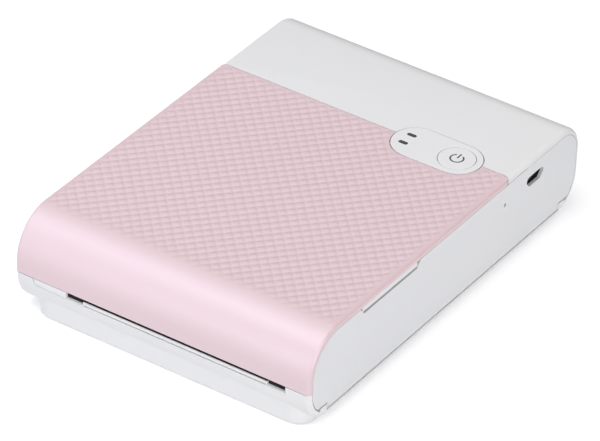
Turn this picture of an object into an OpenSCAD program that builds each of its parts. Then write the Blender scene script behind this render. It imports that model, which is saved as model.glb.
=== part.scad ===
// Compact photo printer for square sheets: a flat white case wrapped by a coloured top
// cover, with a paper slot in the front, a round power button in a small control plate,
// and a cassette door that is the whole right side.
// Millimetres. X runs to the right seen from the front, Y to the rear, Z up.
// The origin is on the table under the middle of the case.

/* [Case] */
// Room for the gears between the left side and the cassette bay
gear_bay = 15.1; // [14:0.1:20]
// Room behind the tray, up to the rear of the case
rear_room = 10.9; // [9:0.1:20]
// Room above the ribbon rolls, up to the top face
head_room = 5.8; // [5.6:0.1:9]
// Radius of the bend from the top down to the front
front_top_r = 14; // [11:0.5:16]
// Radius of the bend from the front under the case
front_low_r = 11; // [9:0.5:12]
// Radius of the bend from the top down to the rear
rear_top_r = 10; // [8:0.5:13]
// Radius of the bend from the rear under the case
rear_low_r = 12; // [9:0.5:13]
// Height of the lower edge of both sides above the table
side_clear = 1.4; // [1.2:0.1:2]
// Wall of the covers and the bottom case
wall = 1.2; // [1:0.1:1.4]
// Wall of the covers' rims, which frame the door and the left side panel
rim_wall = 1.8; // [1.6:0.1:2]
// Rounding of the covers' outer edges
rim_r = 1.6; // [0.8:0.1:1.6]
// Seam left between two case parts
seam = 0.15; // [0.1:0.05:0.25]

/* [Plinth] */
// Set-back of the plinth from the front
plinth_front = 1.7; // [1.2:0.1:3]
// Set-back of the plinth from the rear
plinth_rear = 4; // [3:0.1:6]
// Set-back of the plinth from the left side
plinth_left = 5.2; // [3:0.1:7]
// Set-back of the plinth from the right side
plinth_right = 2.4; // [2.2:0.1:4]
// Height up to which the plinth's wall rises into the case's lower bends
plinth_h = 6.9; // [6.5:0.1:7.2]
// Corner radius of the plinth, seen from above
plinth_r = 5.5; // [3:0.5:7]
// Diameter of a rubber foot
foot_d = 8; // [6:0.5:10]
// How far the feet stand out of the plinth
foot_proud = 0.5; // [0.3:0.1:0.8]
// Depth of the pocket that a foot is glued in
foot_pocket = 0.5; // [0.3:0.1:0.6]

/* [Top cover and paper slot] */
// Depth of the white rear cover on the top face
rear_cap_d = 39.6; // [38:0.1:46]
// Corner radius of the coloured cover, seen from above
cover_corner_r = 2; // [1:0.5:3]
// How much wider than a sheet the paper slot is, on each side
slot_play = 1.9; // [1:0.1:2.2]
// Height of the paper slot at its two ends
slot_h = 1.7; // [1.5:0.1:1.8]
// How far the lip that guides the sheet stands up between the two ends
lip_rise = 1.05; // [0.8:0.05:1.1]
// Height of the slot insert
insert_h = 2.2; // [1.9:0.1:2.4]
// How far the slot insert runs on to the left of the slot
insert_left = 11.6; // [8:0.1:13]

/* [Controls] */
// Radius of the control plate's round ends
plate_r = 7.8; // [7:0.1:9]
// Distance between the centres of the control plate's ends
plate_len = 14; // [12:0.5:17]
// Distance from the button's centre to the right side
button_right = 17.9; // [17:0.1:22]
// Distance from the button's centre to the cover seam behind it
button_back = 1.1; // [0:0.1:2]
// Diameter of the power button
button_d = 11.4; // [10:0.1:12]
// How far the button can be pushed
button_travel = 0.4; // [0.3:0.05:0.5]
// How far the control plate and the button stand above the covers
control_proud = 0.2; // [0.1:0.05:0.4]
// Length of a light window
led_len = 3; // [2:0.1:4]
// Width of a light window
led_w = 1.3; // [1:0.1:1.6]
// Distance between the two light windows
led_pitch = 4.7; // [4:0.1:6]

/* [Cassette door] */
// Thickness of the door and of the left side panel
door_t = 2.2; // [1.8:0.1:2.4]
// Diameter of the door's hinge pins
pin_d = 1.2; // [1:0.1:1.2]
// Length of the hinge ears at both ends of the door
ear_len = 3.2; // [2.5:0.1:4]
// Length of the finger notch at its mouth
notch_len = 31; // [24:0.5:36]
// Depth of the finger notch
notch_h = 2.4; // [2:0.1:3]
// Distance from the front of the case to the notch's front end
notch_front = 25; // [22:0.5:30]

/* [Charging socket and reset] */
// Distance from the rear of the case to the socket's centre
socket_rear = 25.4; // [22:0.1:30]
// Height of the socket's centre below the top face
socket_drop = 7.5; // [7.2:0.1:8]
// Width of the socket's opening in the door
socket_w = 9; // [8:0.1:10]
// Height of the socket's opening in the door
socket_h = 3.6; // [3:0.1:4]
// Distance from the socket to the reset hole
reset_gap = 16.4; // [13:0.1:18]
// Diameter of the reset hole
reset_d = 1.3; // [1:0.1:1.6]
// How far the reset button can be pushed
reset_travel = 0.4; // [0.3:0.05:0.6]

/* [Paper and cassette] */
// Width of a sheet
sheet_w = 72; // [70:0.5:73]
// Length of a sheet
sheet_l = 85; // [80:0.5:86]
// Height of the full stack of sheets
stack_h = 4.4; // [3:0.1:4.6]
// Wall of the cassette
cas_wall = 1; // [0.8:0.1:1.2]
// Width of the cassette to the left of the sheets
cas_end = 3.2; // [3:0.1:5]
// Width of the cassette's grip end, to the right of the sheets
cas_grip = 7.2; // [7:0.1:10]
// Height of the cassette's tray
tray_h = 8; // [7.6:0.1:8.4]
// Diameter of the full supply roll of ribbon
supply_d = 9.6; // [7:0.1:10]
// Diameter of the nearly empty take-up roll of ribbon
takeup_d = 6.4; // [6:0.1:8.6]
// Outer diameter of the ribbon spools
spool_d = 5.2; // [5:0.1:5.4]

/* [Paper drive] */
// Diameter of the platen roller
platen_d = 9.6; // [9:0.1:10]
// Diameter of the feed roller
feed_d = 5.2; // [4.6:0.1:5.4]
// Diameter of the pinch roller
pinch_d = 4.8; // [4:0.1:5]
// Diameter of the roller shafts' ends
shaft_d = 2.4; // [2:0.1:2.6]
// Gap between a running shaft and its bore, on the radius
run_fit = 0.05; // [0.03:0.01:0.08]
// Gear module: pitch diameter of a gear over its number of teeth
gear_m = 0.5; // [0.48:0.01:0.52]
// Width of the gears
gear_w = 3; // [2:0.1:4]
// Play between meshed teeth
backlash = 0.12; // [0.1:0.01:0.2]
// Thickness of the two chassis plates
plate_t = 1.2; // [1:0.1:1.5]
// Diameter of the drive motor
motor_d = 12; // [10:0.5:12.5]
// Length of the drive motor
motor_l = 22; // [16:0.5:24]

/* [Hidden] */
$fn = 48;
hull_fn = 32;
tiny = 0.01;

white = "#eeeef0";
pink = "#e6c6ce";
grey_part = "#c9ccd1";
dark_part = "#3c3f45";
steel = "#a9adb3";
rubber = "#2c2c2e";
gear_white = "#e9e4d2";

// Sheet, cassette and gears set the width; rolls, rollers and sheet the depth; the heights add up
bay_gap = 0.5;
door_gap = 0.6;
tube_r = supply_d / 2 + 0.8;
cas_z = side_clear + wall + 0.2;
guide_t = 1;
lower_guide_z = cas_z + tray_h + 0.2;
path_z = lower_guide_z + guide_t + 0.7;
spool_z = path_z + tube_r + 1.3;
cas_w = cas_end + sheet_w + cas_grip;
cas_inset = door_t + door_gap + 0.2;
front_room = 4.5;
head_front = 4.4;
head_rear = 5.4;
feed_room = 4.5;
tray_room = 1;
drive_d = front_room + head_front + head_rear + feed_room + 4 * tube_r + feed_d / 2 + tray_room;
tray_d = sheet_l + 0.6 + 2 * cas_wall;
body_w = gear_bay + plate_t + bay_gap + cas_w + cas_inset;
body_d = drive_d + tray_d + rear_room;
body_h = spool_z + tube_r + head_room;

// Outer faces of the case
x_right = body_w / 2;
x_left = -body_w / 2;
y_front = -body_d / 2;
y_rear = body_d / 2;
y_seam = y_rear - rear_cap_d;
under_wall = body_h - wall;
floor_z = foot_proud + wall;
rear_split_z = 6.3;

// Side panels sit inside the rims of the covers
panel_inset = rim_wall + seam;
hinge_r = door_t / 2;
hinge_x = x_right - hinge_r;
hinge_z = side_clear + panel_inset + hinge_r;
ear_front = y_front + front_low_r - 1.6;
ear_rear = y_rear - rear_low_r + 1.6;

// Cassette and mechanism, set out from the front and from the right side
plate_right_x = x_right - door_t - door_gap - plate_t;
cas_right = x_right - cas_inset;
cas_left = cas_right - cas_w;
plate_left_x = cas_left - bay_gap - plate_t;
sheet_x0 = cas_left + cas_end;
sheet_x1 = sheet_x0 + sheet_w;
sheet_mid = (sheet_x0 + sheet_x1) / 2;
slot_x0 = sheet_x0 - slot_play;
slot_x1 = sheet_x1 + slot_play;
roller_x0 = sheet_x0 - 0.5;
roller_x1 = sheet_x1 + 0.5;
cover_edge_z = path_z + 0.8;

takeup_y = y_front + front_room + tube_r;
head_y = takeup_y + tube_r + head_front;
supply_y = head_y + head_rear + tube_r;
feed_y = supply_y + tube_r + feed_room;
platen_z = path_z - 0.3 - platen_d / 2;
feed_z = path_z - 0.15 - feed_d / 2;
pinch_z = path_z + 0.15 + pinch_d / 2;
tray_y0 = feed_y + feed_d / 2 + tray_room;
tray_y1 = tray_y0 + tray_d;
stack_z = cas_z + cas_wall + 1.4;
stack_top = stack_z + stack_h;

// Gear train, in one plane between the left panel and the left chassis plate
gear_x1 = plate_left_x - 3;
gear_x0 = gear_x1 - gear_w;
n_feed = 28;
n_pickup = 30;
n_pinion = 12;
n_idler = 42;
n_takeup = 20;
function pitch_r(n) = gear_m * n / 2;
function mesh_dist(a, b) = pitch_r(a) + pitch_r(b) + 0.05;
// Where two circles meet, to the left of the way from the first centre to the second
function meet(p, rp, q, rq) =
  let(d = norm(q - p), a = (rp * rp - rq * rq + d * d) / (2 * d),
      h = sqrt(rp * rp - a * a), u = (q - p) / d)
  p + a * u + h * [-u[1], u[0]];
// Turn of a gear that meshes with one already placed, in the direction a from it
function mesh_turn(a, turn, n1, n2) = a + 180 - (0.5 - (a - turn) * n1 / 360) * 360 / n2;
function heading(p, q) = atan2(q[1] - p[1], q[0] - p[0]);
feed_c = [feed_y, feed_z];
takeup_c = [takeup_y, spool_z];
pickup_lift = 5.6;
pickup_c = feed_c + [sqrt(pow(mesh_dist(n_feed, n_pickup), 2) - pow(pickup_lift, 2)), pickup_lift];
pinion_lift = 5;
pinion_c = pickup_c
  + [sqrt(pow(mesh_dist(n_pickup, n_pinion), 2) - pow(pinion_lift, 2)), pinion_lift];
idler_c = meet(takeup_c, mesh_dist(n_takeup, n_idler), feed_c, mesh_dist(n_feed, n_idler));
pickup_turn = mesh_turn(heading(feed_c, pickup_c), 0, n_feed, n_pickup);
pinion_turn = mesh_turn(heading(pickup_c, pinion_c), pickup_turn, n_pickup, n_pinion);
idler_turn = mesh_turn(heading(feed_c, idler_c), 0, n_feed, n_idler);
takeup_turn = mesh_turn(heading(idler_c, takeup_c), idler_turn, n_idler, n_takeup);
pickup_r = pickup_c[1] - stack_top - 0.3;

// Screws go up through the floor into bosses of the two chassis plates
screw_head_r = 2;
screw_r = 0.9;
boss_r = 2.4;
web_z = floor_z + 3.3;
web_t = 1.6;
screw_points = [[plate_left_x - 3, y_front + 17], [plate_right_x - 4, y_front + 10.5],
                [plate_left_x - 3, y_rear - 12.5], [plate_right_x - 4, tray_y1 + bay_gap + boss_r]];

// Guides and print head
upper_guide_z = path_z + 0.8;
guide_y0 = feed_y + 4.4;
guide_y1 = tray_y1 - 2;
head_rise = 2.2;
pivot_y = pickup_c[0] + 4.2;
pivot_z = body_h - 4.4;
pivot_d = 1.8;
bracket_t = 0.9;
bracket_z = body_h - wall - 0.5 - bracket_t;
head_x0 = roller_x0 - 0.5;
head_x1 = roller_x1 + 0.5;

// Controls and electronics hang from the top face
button_x = x_right - button_right;
button_y = y_seam - button_back;
led_x = button_x - plate_len - 4.1;
button_z0 = under_wall - 0.6;
board_z = body_h - 6.4;
board_t = 1;
board_x0 = button_x - plate_len - 9;
board_x1 = plate_right_x - 0.4;
board_y0 = y_seam - 17;
board_y1 = y_rear - 8;
socket_y = y_rear - socket_rear;
socket_z = body_h - socket_drop;
reset_y = socket_y - reset_gap;
switch_z1 = button_z0 - 1.6;
battery_x1 = board_x0 - 1.5;
battery_x0 = plate_left_x + plate_t + 1.5;
battery_z0 = upper_guide_z + guide_t + 0.05;

// ---- drawing helpers ----
module box(x0, x1, y0, y1, z0, z1) {
  translate([x0, y0, z0]) cube([x1 - x0, y1 - y0, z1 - z0]);
}
// Carries a side view, drawn as (Y, Z), from one X to another
module along_x(x0, x1) {
  translate([x0, 0, 0]) rotate([90, 0, 90]) linear_extrude(x1 - x0) children();
}
module rod_x(c, r, x0, x1) {
  translate([x0, c[0], c[1]]) rotate([0, 90, 0]) cylinder(r = r, h = x1 - x0);
}
module rod_y(x, z, r, y0, y1) {
  translate([x, y0, z]) rotate([-90, 0, 0]) cylinder(r = r, h = y1 - y0);
}
module corner_at(y, z, r) {
  translate([y, z]) circle(r = r);
}
// The case seen from the side, drawn in by i
module side_view(i, fn = 96) {
  $fn = fn;
  yf = y_front + i;
  yr = y_rear - i;
  zt = body_h - i;
  zb = side_clear + i;
  corner_at(y_front + front_top_r, body_h - front_top_r, front_top_r - i);
  corner_at(y_rear - rear_top_r, body_h - rear_top_r, rear_top_r - i);
  corner_at(y_front + front_low_r, side_clear + front_low_r, front_low_r - i);
  corner_at(y_rear - rear_low_r, side_clear + rear_low_r, rear_low_r - i);
  polygon([[yf, side_clear + front_low_r], [y_front + front_low_r, zb],
           [y_rear - rear_low_r, zb], [yr, side_clear + rear_low_r],
           [yr, body_h - rear_top_r], [y_rear - rear_top_r, zt],
           [y_front + front_top_r, zt], [yf, body_h - front_top_r]]);
}
// The whole case as a solid block with rounded side edges
module case_block() {
  hull()
    for (a = [0 : 22.5 : 90])
      along_x(x_left + rim_r * (1 - sin(a)) , x_right - rim_r * (1 - sin(a)))
        side_view(rim_r * (1 - cos(a)), hull_fn);
}
module case_hollow(i = wall) {
  along_x(x_left - 1, x_right + 1) side_view(i);
}
// The room inside the covers, narrower where their rims frame the side panels
module case_room() {
  rim_x = x_right - door_t - 0.3;
  along_x(-rim_x, rim_x) side_view(wall);
  case_hollow(rim_wall);
}
// Top-view outline of the coloured cover, grown by g
module cover_outline(g = 0) {
  r = cover_corner_r + g;
  union() {
    translate([x_left - 1, y_front - 1])
      square([body_w + 2, y_seam - cover_corner_r - y_front + 1]);
    translate([x_left + cover_corner_r, y_front - 1])
      square([body_w - 2 * cover_corner_r, y_seam + g - y_front + 1]);
    for (x = [x_left + cover_corner_r, x_right - cover_corner_r])
      translate([x, y_seam - cover_corner_r]) circle(r = r);
  }
}
module stadium(len, r) {
  for (x = [0, len]) translate([x, 0]) circle(r = r);
  translate([0, -r]) square([len, 2 * r]);
}
module control_outline(g = 0) {
  translate([button_x - plate_len, button_y]) stadium(plate_len, plate_r + g);
}
// Rounded rectangle of the plinth, seen from above
module plinth_outline(i = 0) {
  x0 = x_left + plinth_left + i;
  x1 = x_right - plinth_right - i;
  y0 = y_front + plinth_front + i;
  y1 = y_rear - plinth_rear - i;
  r = plinth_r - i;
  for (x = [x0 + r, x1 - r], y = [y0 + r, y1 - r]) translate([x, y]) circle(r = r);
  translate([x0 + r, y0]) square([x1 - x0 - 2 * r, y1 - y0]);
  translate([x0, y0 + r]) square([x1 - x0, y1 - y0 - 2 * r]);
}
// Involute gear, drawn in side view with a tooth at the angle turn
function inv(a) = tan(a) * 180 / PI - a;
function flank(n, r) =
  let(rb = pitch_r(n) * cos(20), rr = max(r, rb))
  90 / n + inv(20) - inv(acos(min(1, rb / rr))) - backlash / 2 / pitch_r(n) * 180 / PI;
module gear_view(n, turn) {
  ra = pitch_r(n) + 0.85 * gear_m;
  rr = pitch_r(n) - 1.15 * gear_m;
  rb = max(rr + 0.05, pitch_r(n) * cos(20));
  rm = (rb + ra) / 2;
  rs = [rr, rb, rm, ra];
  polygon([for (k = [0 : n - 1], j = [0 : 7])
    let(r = j < 4 ? rs[j] : rs[7 - j], s = j < 4 ? -1 : 1,
        a = turn + 360 * k / n + s * flank(n, r))
    r * [cos(a), sin(a)]]);
}
module gear(c, n, turn, bore_r, boss_r) {
  difference() {
    union() {
      along_x(gear_x0, gear_x1) translate(c) gear_view(n, turn);
      rod_x(c, boss_r, gear_x0 - 0.6, gear_x1 + 0.6);
    }
    rod_x(c, bore_r, gear_x0 - 2, gear_x1 + 2);
    if (pitch_r(n) > 6)
      for (k = [0 : 4])
        rod_x(c + (pitch_r(n) + boss_r) / 2 * [cos(72 * k), sin(72 * k)],
          (pitch_r(n) - boss_r) * 0.28, gear_x0 - 1, gear_x1 + 1);
  }
}

// ---- case ----
foot_points = [for (x = [plate_left_x + 7, plate_right_x - 16])
                 for (y = [y_front + 8.5, y_rear - 11]) [x, y]];

module insert_outline(g = 0) {
  r = 1.8;
  z0 = cover_edge_z - insert_h - g;
  x0 = slot_x0 - insert_left - g;
  x1 = slot_x1 + g;
  translate([x0 + r, z0]) square([x1 - x0 - r, cover_edge_z + 2 - z0]);
  translate([x0, z0 + r]) square([r + 1, cover_edge_z + 2 - z0 - r]);
  translate([x0 + r, z0 + r]) circle(r = r);
}
module toward_front(y0, y1) {
  translate([0, y1, 0]) rotate([90, 0, 0]) linear_extrude(y1 - y0) children();
}
// Lower front and floor of the case, with the groove that sets off the plinth
module bottom_case() color(white) {
  difference() {
    union() {
      intersection() {
        case_block();
        union() {
          box(x_left - 1, x_right + 1, y_front - 1, 0, 0, cover_edge_z - seam);
          box(x_left - 1, x_right + 1, -1, y_rear + 1, 0, rear_split_z);
        }
      }
      translate([0, 0, foot_proud]) linear_extrude(plinth_h - foot_proud) plinth_outline();
    }
    difference() {
      case_room();
      linear_extrude(floor_z) plinth_outline();
    }
    translate([0, 0, floor_z]) linear_extrude(plinth_h) plinth_outline(wall);
    toward_front(y_front - 1, y_front + 4) insert_outline(seam);
    box(slot_x0 - 0.3, slot_x1 + 0.3, y_front - 1, y_front + 8,
      cover_edge_z - insert_h - seam, cover_edge_z + 1);
    rod_y(hinge_x, hinge_z, hinge_r + seam, ear_front, ear_rear);
    rod_y(hinge_x, hinge_z, pin_d / 2, ear_front - 2.2, ear_rear + 2.2);
    box(hinge_x - hinge_r - seam, x_right + 1, ear_front, ear_rear, hinge_z, body_h / 2);
    for (p = foot_points)
      translate([p[0], p[1], 0]) cylinder(d = foot_d + 0.2, h = foot_proud + foot_pocket);
    for (p = screw_points) {
      translate([p[0], p[1], 0]) cylinder(r = screw_head_r + 0.3, h = foot_proud + 0.8);
      translate([p[0], p[1], 0]) cylinder(r = screw_r + 0.2, h = floor_z + 1);
    }
  }
  hinge_ears();
  // Rails that the cassette slides on
  for (y = [tray_y0 + 8, tray_y1 - 8])
    box(cas_left, cas_right - 3, y - 1, y + 1, floor_z, cas_z - 0.05);
  // Ribs on both sides of the left chassis plate's foot
  for (y = [y_front + 26, 0, y_rear - 26], x = [plate_left_x - 0.9, plate_left_x + plate_t + 0.1])
    box(x, x + 0.8, y - 3, y + 3, floor_z - 0.4, floor_z + 0.6);
}
module hinge_ears() {
  for (s = [[ear_front - ear_len, ear_front], [ear_rear, ear_rear + ear_len]])
    difference() {
      intersection() {
        union() {
          along_x(x_left, x_right - rim_r) side_view(wall - 0.2);
          case_hollow(rim_wall - 0.05);
        }
        box(hinge_x - hinge_r, x_right, s[0], s[1], side_clear + wall - 0.2, hinge_z + hinge_r);
      }
      rod_y(hinge_x, hinge_z, pin_d / 2, ear_front - 2.2, ear_rear + 2.2);
    }
}
module door_hinge_pins() color(steel) {
  rod_y(hinge_x, hinge_z, pin_d / 2, ear_front - 2.2, ear_front + 5);
  rod_y(hinge_x, hinge_z, pin_d / 2, ear_rear - 5, ear_rear + 2.2);
}
// Coloured cover: one curved sheet over the top and down the front
module top_cover() color(pink) {
  difference() {
    intersection() {
      case_block();
      translate([0, 0, cover_edge_z]) linear_extrude(body_h) cover_outline(0);
    }
    case_room();
    translate([0, 0, under_wall - 3]) linear_extrude(8) control_outline(0.1);
  }
  // Ribs that locate the cover on the chassis plates
  for (x = [plate_left_x + plate_t, plate_right_x - 1])
    box(x + 0.05, x + 0.95, pivot_y + 6, y_seam - 3, under_wall - 2.2, under_wall + 0.2);
}
// White cover over the rear third, down to the groove at the rear
module rear_cover() color(white) {
  difference() {
    intersection() {
      case_block();
      difference() {
        box(x_left - 1, x_right + 1, y_seam - cover_corner_r - 2, y_rear + 1,
          rear_split_z + seam, body_h + 1);
        translate([0, 0, cover_edge_z]) linear_extrude(body_h) cover_outline(seam);
        box(x_left - 2, x_right + 2, y_seam - 9, y_seam + 9, 0, under_wall - 0.5);
      }
    }
    case_room();
    translate([0, 0, under_wall - 3]) linear_extrude(8) control_outline(0.1);
  }
  for (x = [x_left + 30, x_right - 40])
    box(x, x + 1, y_rear - wall - 4, y_rear - wall + 0.3, 14, body_h - rear_top_r);
}
// White strip in the front wall with the slot that the print comes out of
module front_insert() color(white) {
  slot_z0 = cover_edge_z - 0.3 - slot_h;
  difference() {
    intersection() {
      difference() {
        case_hollow(0);
        // Thin to the left of the slot, deep where its lips guide the sheet
        along_x(x_left - 1, slot_x0 - 0.2) side_view(wall + 0.1);
        along_x(slot_x0 - 0.3, x_right) side_view(3);
      }
      toward_front(y_front - 1, y_front + 4.4) insert_outline(0);
      box(x_left, x_right, y_front - 1, y_front + 3.4, 0, cover_edge_z - seam);
    }
    box(slot_x0, slot_x1, y_front - 1, y_front + 6, slot_z0 + lip_rise, cover_edge_z + 1);
    // The ends of the slot are cut deeper than its guiding lip in the middle
    for (x = [[slot_x0, slot_x0 + 6], [slot_x1 - 6, slot_x1]])
      box(x[0], x[1], y_front - 1, y_front + 6, slot_z0, slot_z0 + lip_rise + 0.1);
    // Relief under the end of the coloured cover
    box(x_left, x_right, y_front - 1, y_front + 0.1, cover_edge_z - 0.6, cover_edge_z);
  }
}
module panel_plate(x0, x1) {
  along_x(x0, x1) side_view(panel_inset);
}
// Fixed panel on the left, held by four hooks on its inner face
module left_side_panel() color(white) {
  inner = x_left + door_t;
  panel_plate(x_left, inner);
  for (y = [y_front + 20, y_rear - 20], z = [9, body_h - 9])
    box(inner - tiny, inner + 2.4, y - 2.5, y + 2.5, z - 0.6, z + 0.6);
}
// Door over the cassette bay: the whole right side, hinged along its lower edge
module cassette_door() color(white) {
  x0 = x_right - door_t;
  notch_y0 = y_front + notch_front;
  top = body_h - panel_inset;
  // The lower corners stand off a little more, so that they clear the rim as the door turns
  corner_lift = 0.3;
  difference() {
    union() {
      intersection() {
        panel_plate(x0, x_right);
        translate([0, 0, corner_lift]) panel_plate(x0, x_right);
        union() {
          box(x0, x_right, ear_front + seam, ear_rear - seam, hinge_z, body_h);
          box(x0, x_right, y_front, y_rear, hinge_z + hinge_r + seam + corner_lift + 0.1, body_h);
        }
      }
      rod_y(hinge_x, hinge_z, hinge_r, ear_front + seam, ear_rear - seam);
      // Hooks that snap behind the right chassis plate
      for (y = [notch_y0 - 10, notch_y0 + notch_len + 10])
        box(x0 - 0.5, x0 + tiny, y - 2, y + 2, top - 4, top - 1.6);
      // Stiffening ribs
      for (y = [-12, 18]) box(x0 - 0.4, x0 + tiny, y, y + 1, 10, top - 9);
    }
    rod_y(hinge_x, hinge_z, pin_d / 2 + run_fit, ear_front - 1, ear_front + 5.4);
    rod_y(hinge_x, hinge_z, pin_d / 2 + run_fit, ear_rear - 5.4, ear_rear + 1);
    along_x(x0 - 1, x_right + 1)
      polygon([[notch_y0 - 1, top + 1.1], [notch_y0 + notch_h * 0.9, top - notch_h],
               [notch_y0 + notch_len - notch_h * 0.7, top - notch_h],
               [notch_y0 + notch_len + 0.8, top + 1.1]]);
    along_x(x0 - 1, x_right + 1) socket_opening(0);
    rod_x([reset_y, socket_z - 0.9], reset_d / 2, x0 - 1, x_right + 1);
  }
}
// Micro-B outline: wide at the top, drawn in at the bottom
module socket_opening(i) {
  w = socket_w / 2 - i;
  h = socket_h / 2 - i;
  chamfer = h / 2;
  translate([socket_y, socket_z])
    polygon([[-w, h - chamfer], [-w + chamfer, h], [w - chamfer, h], [w, h - chamfer], [w, -h * 0.1],
             [w - 1.6, -h], [-w + 1.6, -h], [-w, -h * 0.1]]);
}
module rubber_feet() color(rubber)
  for (p = foot_points) translate([p[0], p[1], 0]) {
    translate([0, 0, 0.3]) cylinder(d = foot_d, h = foot_proud + foot_pocket - 0.3);
    cylinder(d1 = foot_d - 0.6, d2 = foot_d, h = 0.3);
  }
module case_screws() color(steel)
  for (p = screw_points) translate([p[0], p[1], foot_proud + 0.1]) {
    difference() {
      cylinder(r = screw_head_r, h = 0.7);
      translate([0, 0, -0.1]) for (a = [0, 90])
        rotate(a) translate([-1.2, -0.2, 0]) cube([2.4, 0.4, 0.5]);
    }
    translate([0, 0, 0.7]) cylinder(r = screw_r, h = 4.2);
  }

// ---- controls ----
module control_plate() color(white) {
  difference() {
    union() {
      translate([0, 0, under_wall - 0.2]) linear_extrude(wall + 0.2 + control_proud) control_outline(0);
      translate([0, 0, under_wall - 0.8]) linear_extrude(0.75) control_outline(1.2);
    }
    translate([button_x, button_y, under_wall - 1]) cylinder(d = button_d + 0.3, h = wall + 3);
    translate([button_x, button_y, under_wall - 0.9]) cylinder(d = button_d + 2, h = 0.75);
    for (y = [-led_pitch / 2, led_pitch / 2])
      translate([led_x, button_y + y, under_wall - 1])
        linear_extrude(wall + 3) stadium(led_len - led_w, led_w / 2 + 0.02);
  }
}
module power_button() color(white) {
  translate([button_x, button_y, 0]) {
    translate([0, 0, button_z0 + 0.3]) cylinder(d = button_d, h = wall + 0.3 + control_proud);
    translate([0, 0, button_z0 - 0.2]) cylinder(d = button_d + 1.4, h = 0.5);
    // Stem down to the switch
    translate([0, 0, switch_z1 + 0.1 + button_travel])
      cylinder(d = 3, h = button_z0 - 0.3 - switch_z1 - button_travel);
  }
}
module light_guides() color(dark_part)
  for (y = [-led_pitch / 2, led_pitch / 2])
    translate([led_x, button_y + y, board_z + board_t])
      linear_extrude(body_h + control_proud - board_z - board_t) stadium(led_len - led_w, led_w / 2);
module power_switch() color(dark_part)
  translate([button_x, button_y, 0]) {
    translate([-3, -3, board_z + board_t]) cube([6, 6, switch_z1 - 0.6 - board_z - board_t]);
    translate([0, 0, switch_z1 - 0.6]) cylinder(d = 3.4, h = 0.6);
  }
module main_board() color("#2f6b4a") {
  difference() {
    box(board_x0, board_x1, board_y0, board_y1, board_z, board_z + board_t);
    for (x = [board_x0 + 3, board_x1 - 3])
      translate([x, board_y1 - 3, board_z - 1]) cylinder(d = 2.2, h = 4);
  }
  // Chips and connectors
  for (c = [[4, 24, 9, 9, 1.2], [16, 40, 6, 8, 1.4], [5, 42, 5, 3, 1]])
    box(board_x0 + c[0], board_x0 + c[0] + c[2], board_y0 + c[1], board_y0 + c[1] + c[3],
      board_z - c[4], board_z + tiny);
}
module usb_socket() color(steel)
  difference() {
    along_x(board_x1 - 5, board_x1 + 1.6) socket_opening(0.75);
    along_x(board_x1 - 4, board_x1 + 2) socket_opening(1.05);
  }
module reset_switch() color(dark_part)
  box(board_x1 - 5, board_x1 - 1.6, reset_y - 2, reset_y + 2, board_z - 3.4, board_z);
// Plunger whose tip ends inside the right chassis plate, for a pin pushed through the door
module reset_button() color(white) {
  x0 = board_x1 - 1.6 + reset_travel + 0.1;
  rod_x([reset_y, socket_z - 0.9], 1.5, x0, x0 + 0.8);
  rod_x([reset_y, socket_z - 0.9], 0.55, x0, plate_right_x + plate_t - 0.1);
}
module battery_pack() color("#4a4d55") {
  cell_gap = 0.3;
  cell_w = (battery_x1 - battery_x0 - cell_gap) / 2;
  for (x = [battery_x0, battery_x1 - cell_w])
    box(x, x + cell_w, board_y0 + 8, board_y1 - 4, battery_z0, battery_z0 + 9);
  // Circuit of the pack, across the front of both cells
  box(battery_x0 + 2, battery_x1 - 2, board_y0 + 5.6, board_y0 + 8, battery_z0, battery_z0 + 6);
}

// ---- chassis and paper path ----
// Side view of a chassis plate: the case drawn in by its wall and a small gap
module plate_view() {
  side_view(wall + 0.3);
}
// Side view of the cassette, grown by g: two spool ends, the tray and the bars that join them
module bay_view(g) {
  for (y = [takeup_y, supply_y]) translate([y, spool_z]) circle(r = tube_r + g);
  translate([takeup_y, spool_z]) square([supply_y - takeup_y, tube_r + g]);
  translate([takeup_y - tube_r - g, path_z + 0.9 - g])
    square([supply_y - takeup_y + 2 * tube_r + 2 * g, spool_z - path_z - 0.9 + g]);
  translate([tray_y0 - g, cas_z - g]) square([tray_y1 - tray_y0 + 2 * g, tray_h + 2 * g]);
  translate([supply_y + 2.4 - g, cas_z - g]) square([tray_y0 - supply_y, 3.2 + 2 * g]);
  translate([supply_y + 2.4 - g, cas_z - g]) square([2.6 + 2 * g, path_z - cas_z + 3]);
}
module shaft_bores() {
  for (c = [[head_y, platen_z], feed_c, [feed_y, pinch_z], pickup_c])
    translate(c) circle(d = shaft_d + 2 * run_fit);
}
// Screw boss beside a chassis plate, with the web that joins the two at x
module screw_boss(p, x) {
  difference() {
    union() {
      translate([p[0], p[1], floor_z + 0.05]) cylinder(r = boss_r, h = web_z + web_t - floor_z - 0.05);
      box(min(p[0], x), max(p[0], x), p[1] - boss_r, p[1] + boss_r / 2, web_z, web_z + web_t);
    }
    translate([p[0], p[1], 0]) cylinder(r = screw_r, h = web_z + web_t + 1);
  }
}
module left_chassis_plate() color(grey_part) {
  difference() {
    along_x(plate_left_x, plate_left_x + plate_t)
      difference() {
        union() {
          plate_view();
          // Foot that reaches down into the plinth
          translate([y_front + plinth_front + wall + 1, floor_z + 0.05])
            square([body_d - plinth_front - plinth_rear - 2 * wall - 2, web_z]);
        }
        shaft_bores();
        translate(takeup_c) circle(d = shaft_d + 2 * run_fit);
        translate([supply_y, spool_z]) circle(d = shaft_d + 2 * run_fit);
        translate(pinion_c) circle(r = 3);
        translate([pivot_y, pivot_z]) circle(d = pivot_d);
        translate(idler_c) circle(d = 2);
      }
    box(plate_left_x - 1, plate_left_x + plate_t + 1, board_y1 - 16, board_y1 - 6, 16, 24);
  }
  for (p = [screw_points[0], screw_points[2]]) screw_boss(p, plate_left_x + tiny);
}
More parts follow.
